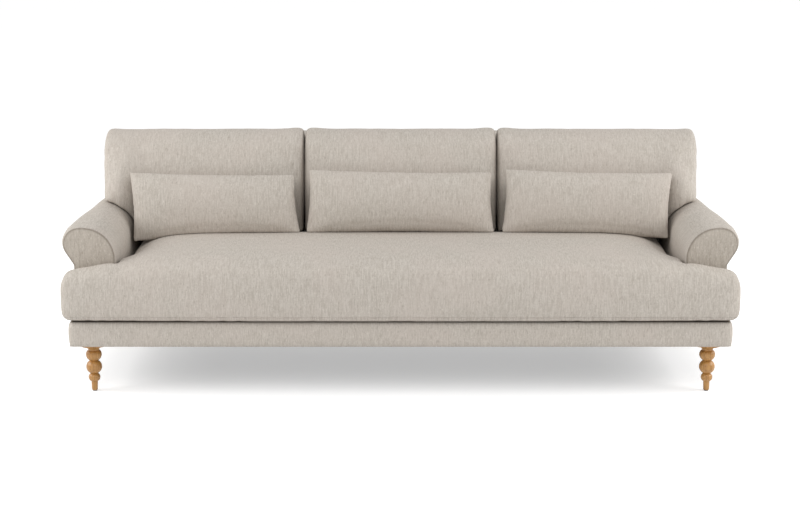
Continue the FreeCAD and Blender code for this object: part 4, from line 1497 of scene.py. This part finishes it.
@dataclass
class SeatCushion:
    """T-shaped bench cushion with a soft crown and front wings.

    The two tables give how far the top falls at a distance across, over the
    wings ahead of the arms and between the arms behind their fronts.
    """

    cell: float = 0.011
    plateau: float = 0.4630
    behind_fronts: Spot = (-0.38, -0.06)
    roll_start: float = -0.30
    roll_run: float = 0.188
    roll_drop: float = 0.044
    deepest: Spot = (-0.052, -0.092)
    valley: float = 0.040
    valley_width: float = 0.05
    valley_start: Spot = (0.03, 0.15)
    lifted: Spot = (0.30, 0.40)
    seam_height: float = 0.2745
    seam_step: float = 0.0022
    seam_width: float = 0.0016
    seam_depth: float = 0.0024
    ahead: tuple[Spot, ...] = (
        (0.0, 0.0), (0.84, -0.001), (0.88, -0.0045), (0.92, -0.0115), (0.943, -0.0150),
        (0.967, -0.0125), (0.985, -0.0085), (1.01, -0.0115), (1.055, -0.0205),
        (1.10, -0.0275), (1.1435, -0.0345))
    behind: tuple[Spot, ...] = (
        (0.0, 0.0), (0.72, -0.001), (0.785, -0.0045), (0.832, -0.010), (0.865, -0.017),
        (0.895, -0.028), (0.937, -0.052), (0.967, -0.080))
    plain: PlainTop = PlainTop()
    stuffing: Stuffing = Stuffing(cap=0.006)

    def crown(self, places: np.ndarray) -> np.ndarray:
        """Height of the crowned top.

        The top falls towards the arms behind their fronts, runs out over the
        wings before them and rolls down to the front edge. At the rear it
        gives way under the corners of the back cushions.

        Args:
            places: Points on or under it.

        Returns:
            Height over each point.
        """
        across, along = np.abs(places[:, 0]), places[:, 1]
        ahead, behind = (np.interp(across, *zip(*run)) for run in (self.ahead, self.behind))
        rear = eased(along, *self.behind_fronts)
        side = ahead + (behind - ahead) * rear
        side -= (self.valley * peak(across, PARTING, self.valley_width)
                 * eased(along, *self.valley_start))
        roll = ((self.roll_start - along) / self.roll_run).clip(0, 1)
        drop = self.roll_drop * (1 - np.sqrt(1 - roll ** 2))
        least = self.deepest[0] + (self.deepest[1] - self.deepest[0]) * rear
        return self.plateau + np.maximum(side - drop, least)

    def room(self, places: np.ndarray) -> np.ndarray:
        """Free space to the deck, the arms, the back and the cushions above.

        Args:
            places: Points on the cushion.

        Returns:
            One distance for each point.
        """
        across, along, up = np.abs(places[:, 0]), places[:, 1], places[:, 2]
        deck = up - BASE_TOP - 0.0004
        arms = np.hypot((HALF_SEAT - across).clip(0, None), (ARM_FRONT - along).clip(0, None))
        back = (lean_y(up, BACK_THICK) - along) * math.cos(RAKE)
        above = np.hypot((SEAT_TOP + 0.0001 - up).clip(0, None),
                         (self.behind_fronts[1] - along).clip(0, None))
        return np.minimum.reduce([deck, arms - NEAR, back - NEAR, above])

    def build(self, finishes: Finishes) -> Piece:
        """Make the cushion, the seam near its lower edge and painted shade on its underside.

        Args:
            finishes: Shared materials.

        Returns:
            The cushion.
        """
        piece = solid_copy("seat_cushion", "seat_cushion_core")
        remesh(piece, self.cell)
        relax(piece, 10)
        places = points(piece)
        places[:, 2] += ((self.crown(places) - self.plain.height(places))
                         * eased(places[:, 2], *self.lifted))
        put(piece, places)
        relax(piece, 4)
        self.stuffing.swell(piece, self.room)
        relax(piece, 2)
        refine(piece)
        self.seam(piece)
        # Painted shade: the downward-facing underside is painted darker, for the shaded gap over
        # the base border
        darken(piece, eased(-outward(piece)[:, 2], 0.7, 0.95))
        upholster(piece, finishes.cloth, "seat_cushion",
                  ["seat_cushion_cover", "seat_cushion_core"])
        return piece

    def seam(self, piece: Piece) -> None:
        """Draw in the seam that runs round the sides, near the underside.

        Args:
            piece: The cushion.
        """
        with editing(piece):
            for step in (-1, 0, 1):
                bpy.ops.mesh.select_all(action="SELECT")
                bpy.ops.mesh.bisect(plane_co=(0, 0, self.seam_height + step * self.seam_step),
                                    plane_no=(0, 0, 1))
        places, out = points(piece), outward(piece)
        near = peak(places[:, 2], self.seam_height, self.seam_width)
        near *= eased(1 - np.abs(out[:, 2]), 0.2, 0.6)
        put(piece, places - out * (self.seam_depth * near)[:, None])


@dataclass
class BackCushion:
    """Loose back cushion, the outer two notched over the arms.

    The shoulder gives the share of its full height that the plain filling has
    at a distance from its sides.
    """

    place: str
    low_x: float
    high_x: float
    cell: float = 0.009
    top: float = 0.8010
    plain_top: float = 0.806
    plain_fall: float = 0.022
    shoulder: tuple[Spot, ...] = ((0.0, 0.0), (0.010, 0.42), (0.028, 0.66), (0.060, 0.84),
                                  (0.120, 0.97), (0.36, 1.0))
    lifted: Spot = (0.66, 0.80)
    ear: float = 0.005
    ear_spot: Spot = (0.03, 0.035)
    sag: float = 0.034
    sag_width: float = 0.034
    sag_fade: Spot = (0.48, 0.57)
    spread: float = 0.010
    spread_across: Spot = (0.96, 1.06)
    upper: Spot = (0.58, 0.78)
    bulge: float = 0.058
    bulge_across: Spot = (0.92, 1.02)
    bulge_depth: float = 0.15
    low_tuck: float = 0.25
    high_fade: float = 0.8
    stuffing: Stuffing = Stuffing(cap=0.006)

    def raise_top(self, places: np.ndarray) -> None:
        """Level the top, and let its two corners stand a little proud.

        Args:
            places: Points of the cushion, which are moved.
        """
        inward = np.minimum(places[:, 0] - self.low_x, self.high_x - places[:, 0]).clip(0, None)
        share = np.interp(inward, *zip(*self.shoulder))
        plain = self.plain_top - self.plain_fall * (1 - share)
        ears = self.ear * peak(inward, *self.ear_spot)
        places[:, 2] += (self.top + ears - plain) * eased(places[:, 2], *self.lifted)

    def settle(self, places: np.ndarray) -> None:
        """Sink the inner corners into the seat and swell the outer side over the arm.

        Args:
            places: Points of the cushion, which are moved.
        """
        across, up = np.abs(places[:, 0]), places[:, 2]
        corner = peak(across, PARTING, self.sag_width) * (1 - eased(up, *self.sag_fade))
        outer = eased(across, *self.bulge_across)
        upper = eased(up, *self.upper)
        ahead = ((lean_y(up, BACK_THICK) - places[:, 1]) / self.bulge_depth).clip(0, 1)
        widened = (1 + self.low_tuck) * upper - self.low_tuck
        places[:, 0] += (np.sign(places[:, 0]) * self.spread
                         * (eased(across, *self.spread_across) * widened))
        places[:, 1] -= self.bulge * outer * ahead * (1 - self.high_fade * upper)
        places[:, 2] -= self.sag * corner

    def room(self, places: np.ndarray) -> np.ndarray:
        """Free space to its neighbours, the seat, the arms and the back.

        Args:
            places: Points on the cushion.

        Returns:
            One distance for each point.
        """
        across, along, up = places[:, 0], places[:, 1], places[:, 2]
        free = [np.minimum(across - self.low_x, self.high_x - across) - 0.0003,
                up - SEAT_TOP - 0.0005,
                (lean_y(up, BACK_THICK) - along) * math.cos(RAKE) - 0.0008]
        if self.place != "centre":
            free.append(ARM_SECTION.gap(places) - NEAR)
        return np.minimum.reduce(free)

    def build(self, finishes: Finishes) -> Piece:
        """Make the cushion.

        Args:
            finishes: Shared materials.

        Returns:
            The cushion.
        """
        node = f"back_cushion_{self.place}"
        piece = solid_copy(node, f"{node}_filling")
        remesh(piece, self.cell)
        relax(piece, 3)
        places = points(piece)
        self.raise_top(places)
        self.settle(places)
        put(piece, places)
        self.stuffing.swell(piece, self.room)
        relax(piece, 2)
        refine(piece)
        upholster(piece, finishes.cloth, node, [f"{node}_cover", f"{node}_filling"])
        return piece


@dataclass
class Bolster:
    """Lumbar pillow with a knife edge, drawn-in sides and pointed corners.

    The corners are given across and up from the pillow's middle, as it stands.
    """

    place: str
    across: float
    along: float
    top_left: Spot
    top_right: Spot
    low_left: Spot
    low_right: Spot
    grow: Spot = (0.006, 0.005)
    draw_in: Spot = (0.007, 0.006)
    thickness: float = 0.112
    knife_edge: float = 0.004
    lean: float = math.radians(20)
    middle_up: float = 0.576
    cuts: int = 44
    cell: float = 0.0055
    rest_gap: float = 0.0012
    stuffing: Stuffing = Stuffing(cap=0.006)

    def form(self, places: np.ndarray) -> np.ndarray:
        """Draw a unit block out into the pillow.

        Args:
            places: Points from -1 to 1 on each axis.

        Returns:
            Points of the upright pillow, about its own middle.
        """
        u, w, v = places[:, 0], places[:, 1], places[:, 2]
        left, right = (1 - u) / 2, (1 + u) / 2
        low, high = (1 - v) / 2, (1 + v) / 2
        flat = np.stack([u, v], axis=1) * self.grow
        for corner, share in ((self.low_left, left * low), (self.low_right, right * low),
                              (self.top_left, left * high), (self.top_right, right * high)):
            flat += np.array(corner) * share[:, None]
        flat[:, 0] -= self.draw_in[0] * np.sign(u) * np.abs(u) ** 3 * (1 - v ** 2)
        flat[:, 1] -= self.draw_in[1] * np.sign(v) * np.abs(v) ** 3 * (1 - u ** 2)
        full = ((1 - np.abs(u) ** 3.2).clip(0, 1) ** 0.5) * ((1 - v ** 2).clip(0, 1) ** 0.62)
        half = self.knife_edge + (self.thickness / 2 - self.knife_edge) * full
        return np.stack([flat[:, 0], np.sign(w) * half * np.abs(w), flat[:, 1]], axis=1)

    def lay_back(self, places: np.ndarray) -> np.ndarray:
        """Lean the upright pillow back and carry it to its place.

        Args:
            places: Points about the pillow's own middle.

        Returns:
            Points in the sofa.
        """
        cos, sin = math.cos(self.lean), math.sin(self.lean)
        turned = places.copy()
        turned[:, 1] = places[:, 1] * cos + places[:, 2] * sin
        turned[:, 2] = places[:, 2] * cos - places[:, 1] * sin
        return turned + np.array([self.across, self.along, self.middle_up])

    def build(self, finishes: Finishes, behind: Piece, under: Piece) -> None:
        """Make the pillow and lay it against the cushion behind it.

        Args:
            finishes: Shared materials.
            behind: Back cushion that it leans on.
            under: Seat cushion that it stands on.
        """
        node = f"bolster_{self.place}"
        piece = block(node, (-1, -1, -1), (1, 1, 1))
        with editing(piece):
            bpy.ops.mesh.subdivide(number_cuts=self.cuts)
        put(piece, self.form(points(piece)))
        remesh(piece, self.cell)
        relax(piece, 2)
        self.stuffing.swell(piece, lambda places: np.full(len(places), self.stuffing.cap))
        relax(piece, 2)
        put(piece, self.lay_back(points(piece)))
        self.settle(piece, behind, under)
        relax(piece, 1, 0.4)
        refine(piece)
        upholster(piece, finishes.cloth, node, [f"{node}_cover", f"{node}_filling"])

    def settle(self, piece: Piece, behind: Piece, under: Piece) -> None:
        """Flatten the pillow where it rests on the cushions.

        Args:
            piece: The pillow.
            behind: Back cushion that it leans on.
            under: Seat cushion that it stands on.
        """
        graph = bpy.context.evaluated_depsgraph_get()
        wall, floor = (BVHTree.FromObject(rest, graph) for rest in (behind, under))
        places = points(piece)
        for spot in places:
            hit = wall.ray_cast(Vector((spot[0], -2.0, spot[2])), Vector((0, 1, 0)))[0]
            if hit is not None:
                spot[1] = min(spot[1], hit.y - self.rest_gap)
            hit = floor.ray_cast(Vector((spot[0], spot[1], 2.0)), Vector((0, 0, -1)))[0]
            if hit is not None:
                spot[2] = max(spot[2], hit.z + self.rest_gap)
        put(piece, places)


@dataclass
class Underside:
    """Deck cloth over the springs and the dust cover under the base."""

    half: float = 1.0765
    front: float = -0.42524
    rear: float = 0.36776
    thickness: float = 0.0008
    ripple: float = 0.0006
    ripple_turns: float = 29.2
    deck_height: float = BASE_TOP - 0.0008
    dust_height: float = BASE_LOW + 0.0012

    def sheet(self, name: str, height: float, material: Material, node: str) -> None:
        """Stretch one cloth between the rails.

        Args:
            name: Name of the piece.
            height: Height of its edges.
            material: What it is made of.
            node: Node that it stands for.
        """
        deselect_all()
        bpy.ops.mesh.primitive_grid_add(x_subdivisions=120, y_subdivisions=44, size=2)
        piece = bpy.context.active_object
        piece.name = piece.data.name = name
        places = points(piece)
        u, v = places[:, 0].copy(), places[:, 1].copy()
        places[:, 0] = u * self.half
        places[:, 1] = (self.front + self.rear) / 2 + v * (self.rear - self.front) / 2
        wave = self.ripple * np.sin(places[:, 0] * self.ripple_turns)
        places[:, 2] = height + wave * (1 - u ** 8) * (1 - v ** 6)
        put(piece, places)
        press(piece, "SOLIDIFY", thickness=self.thickness, offset=0)
        smooth_faces(piece)
        dress(piece, material, "frame", [node])

    def build(self, finishes: Finishes) -> None:
        """Stretch both cloths.

        Args:
            finishes: Shared materials.
        """
        self.sheet("deck_lining", self.deck_height, finishes.deck, "deck_cloth")
        self.sheet("dust_lining", self.dust_height, finishes.dust, "dust_cover")


class HiddenFrame:
    """Timber, springs and hardware carried over from the frame."""

    def build(self, finishes: Finishes) -> None:
        """Give every node its finish, by its slot in the record.

        Args:
            finishes: Shared materials.
        """
        by_slot = {"frame_wood": finishes.timber, "leg_wood": finishes.oak,
                   "spring_steel": finishes.steel, "glide_plastic": finishes.plastic,
                   "webbing": finishes.webbing, "lining_cloth": finishes.dust,
                   "upholstery": finishes.cloth, "cushion_filling": finishes.deck}
        for part in frame["record"]["subparts"]:
            node = frame["nodes"][part["node"]]
            node.data.materials.clear()
            node.data.materials.append(by_slot[part["material_slot"]])
            log.info("%s: %s", part["node"], part["material_slot"])


@dataclass
class LooseCushions:
    """Seat cushion, three back cushions on it and a bolster before each."""

    gap: float = 0.0002
    overhang: float = 0.012

    def backs(self) -> list[BackCushion]:
        """The three back cushions, from left to right."""
        outer, inner = HALF_BACK + self.overhang, PARTING + self.gap
        return [BackCushion("left", -outer, -inner),
                BackCushion("centre", self.gap - PARTING, PARTING - self.gap),
                BackCushion("right", inner, outer)]

    def bolsters(self) -> list[Bolster]:
        """The three bolsters, from left to right."""
        return [
            Bolster("left", across=-0.668, along=0.0673, top_left=(-0.303, 0.100),
                    top_right=(0.283, 0.091), low_left=(-0.284, -0.145),
                    low_right=(0.306, -0.117)),
            Bolster("centre", across=0.0, along=0.0653, top_left=(-0.325, 0.110),
                    top_right=(0.324, 0.101), low_left=(-0.335, -0.116),
                    low_right=(0.332, -0.116)),
            Bolster("right", across=0.668, along=0.0673, top_left=(-0.286, 0.111),
                    top_right=(0.307, 0.098), low_left=(-0.303, -0.116),
                    low_right=(0.286, -0.135)),
        ]

    def build(self, finishes: Finishes) -> None:
        """Make the cushions in the order in which they rest on each other.

        Args:
            finishes: Shared materials.
        """
        seat = SeatCushion().build(finishes)
        backs = [cushion.build(finishes) for cushion in self.backs()]
        for bolster, behind in zip(self.bolsters(), backs):
            bolster.build(finishes, behind, seat)


def main() -> None:
    """Build the sofa, one sub-assembly after another."""
    Studio().build()
    finishes = Finishes()
    for assembly in (HiddenFrame(), Legs(), BaseBorder(), Arm(Side.RIGHT), Arm(Side.LEFT),
                     BackRest(), Underside(), LooseCushions()):
        assembly.build(finishes)


if __name__ == "__main__":
    logging.basicConfig(level=logging.INFO, format="%(message)s")
    main()
